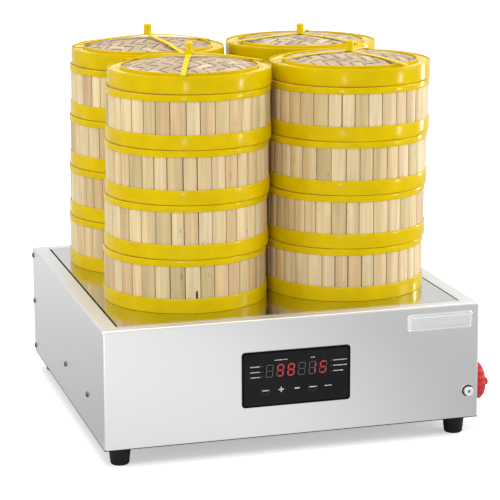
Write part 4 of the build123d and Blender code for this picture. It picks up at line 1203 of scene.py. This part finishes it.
# Places and sizes in metres, power in watts; those for gloss only are seen just as highlights
lightParts = {
    "key": {"place": (-0.9, -1.9, 2.3), "size": (0.9, 0.9), "power": 20.5},
    "right": {"place": (2.2, -0.5, 1.1), "size": (0.8, 1.7), "power": 30.0},
    "left": {"place": (-2.3, -0.2, 1.3), "size": (1.2, 1.6), "power": 14.0},
    "top": {"place": (0.1, 0.4, 2.6), "size": (2.2, 2.0), "power": 30.0},
    "frontGlint": {"place": (-0.72, -1.80, 0.14), "size": (0.10, 0.06), "power": 2.6, "glossOnly": True},
    "rightGlint": {"place": (1.40, -0.95, 0.18), "size": (0.14, 0.12), "power": 4.0, "glossOnly": True},
    "sideGlint": {"place": (1.80, 0.45, 0.35), "size": (0.22, 0.60), "power": 11.0, "glossOnly": True},
}


# The world's strength: white to the camera, weaker as light, and in gloss fading from low to high
worldParts = {"camera": 1.0, "light": 0.62, "low": 0.85, "high": 0.76}


# Every lamp is a rectangle that faces the object's middle
def makeLights():
    aim = Vector((caseX, caseY, 0.25))
    for name, parts in lightParts.items():
        data = bpy.data.lights.new(name + "Light", "AREA")
        data.shape = "RECTANGLE"
        data.size, data.size_y = parts["size"]
        data.energy = parts["power"]
        light = bpy.data.objects.new(name + "Light", data)
        light.location = parts["place"]
        light.rotation_mode = "QUATERNION"
        light.rotation_quaternion = (Vector(parts["place"]) - aim).to_track_quat("Z", "Y")
        if parts.get("glossOnly"):
            light.visible_diffuse = False
            light.visible_camera = False
        bpy.context.scene.collection.objects.link(light)
    world = bpy.data.worlds.new("studio")
    bpy.context.scene.world = world
    world.use_nodes = True
    tree = world.node_tree
    tree.nodes.clear()
    add = nodeAdder(tree)
    path = add("ShaderNodeLightPath").outputs
    parts = worldParts
    rays = {0: path["Is Camera Ray"], 1: path["Is Transmission Ray"]}
    seen = add("ShaderNodeMath", rays, operation="MAXIMUM").outputs[0]
    plain = add("ShaderNodeMix", {0: seen, 2: parts["light"], 3: parts["camera"]}, data_type="FLOAT").outputs[0]
    ray = add("ShaderNodeTexCoord").outputs["Generated"]
    upward = add("ShaderNodeSeparateXYZ", {0: ray}).outputs["Z"]
    sky = add("ShaderNodeMapRange", {"Value": upward, "From Min": 0.15, "From Max": 0.65,
                                     "To Min": parts["low"], "To Max": parts["high"]}).outputs[0]
    strength = add("ShaderNodeMix", {0: path["Is Glossy Ray"], 2: plain, 3: sky}, data_type="FLOAT").outputs[0]
    background = add("ShaderNodeBackground", {"Color": (1.0, 1.0, 1.0, 1.0), "Strength": strength})
    out = add("ShaderNodeOutputWorld")
    tree.links.new(background.outputs[0], out.inputs["Surface"])


# Each fade is a start and an end in metres, and the glow at both
floorParts = {
    "size": 12.0, "colour": 0.82,
    "across": (-0.05, 0.34, 1.08, 0.60),  # in front of the case, from left to right
    "near": (-0.75, -0.25, 1.0, 0.84),  # in front of it, towards it
    "behind": (-0.2, 0.9, 0.52, 0.90),  # beside and behind it, away from it
    "depth": (-0.30, -0.10, 0.0, 1.0),  # from the glow in front to the glow behind
    "under": (-0.02, 0.012, 0.10, 1.0),  # from under the case to outside it
    "camera": (0.5, 2.5, 0.42, 0.75),  # what the camera sees, away from the middle
}


# The floor is pale and keeps the shadow; to the camera and in reflections it also glows up to white
def makeFloor():
    size = floorParts["size"]
    mesh = bpy.data.meshes.new("floor")
    mesh.from_pydata([(-size, -size, 0), (size, -size, 0), (size, size, 0), (-size, size, 0)], [], [(0, 1, 2, 3)])
    floor = bpy.data.objects.new("floor", mesh)
    bpy.context.scene.collection.objects.link(floor)
    material = bpy.data.materials.new("floorWhite")
    material.use_nodes = True
    tree = material.node_tree
    tree.nodes.clear()
    add = nodeAdder(tree)
    path = add("ShaderNodeLightPath").outputs
    coords = add("ShaderNodeTexCoord").outputs["Object"]
    place = add("ShaderNodeSeparateXYZ", {0: coords}).outputs

    def fade(key, value, **settings):
        start, end, first, last = floorParts[key]
        return add("ShaderNodeMapRange", {"Value": value, "From Min": start, "From Max": end,
                                          "To Min": first, "To Max": last}, **settings).outputs[0]

    def combine(operation, *values):
        return add("ShaderNodeMath", dict(enumerate(values)), operation=operation).outputs[0]

    across = fade("across", place["X"], interpolation_type="SMOOTHSTEP")
    front = combine("MULTIPLY", across, fade("near", place["Y"]))
    behind, depth = fade("behind", place["Y"]), fade("depth", place["Y"])
    unshaded = add("ShaderNodeMix", {0: depth, 2: front, 3: behind}, data_type="FLOAT").outputs[0]
    reach = []  # how far outside the case a spot lies, along X and along Y
    for axis, low, high in (("X", caseLow.x, caseHigh.x), ("Y", caseLow.y, caseHigh.y)):
        aside = combine("ABSOLUTE", combine("ADD", place[axis], -(low + high) / 2))
        reach.append(combine("ADD", aside, -(high - low) / 2))
    # Under the case the glow seen in reflections drops to a tenth: a painted shadow
    shade = combine("MULTIPLY", unshaded, fade("under", combine("MAXIMUM", *reach)))
    seen = combine("MAXIMUM", path["Is Camera Ray"], path["Is Transmission Ray"])
    away = add("ShaderNodeVectorMath", {0: coords}, operation="LENGTH").outputs["Value"]
    cameraGlow = combine("MULTIPLY", seen, fade("camera", away))
    pale = floorParts["colour"]
    diffuse = add("ShaderNodeBsdfDiffuse", {"Color": (pale, pale, pale, 1.0)})
    glow = add("ShaderNodeEmission", {"Color": (1.0, 1.0, 1.0, 1.0), "Strength": cameraGlow})
    plain = add("ShaderNodeAddShader", {0: diffuse.outputs[0], 1: glow.outputs[0]})
    mirror = add("ShaderNodeEmission", {"Color": (1.0, 1.0, 1.0, 1.0), "Strength": shade})
    mix = add("ShaderNodeMixShader", {0: path["Is Glossy Ray"], 1: plain.outputs[0], 2: mirror.outputs[0]})
    out = add("ShaderNodeOutputMaterial")
    tree.links.new(mix.outputs[0], out.inputs["Surface"])
    mesh.materials.append(material)


makeCamera()
makeLights()
makeFloor()
bpy.context.scene.view_settings.view_transform = "Standard"
print("camera, lights and floor made")
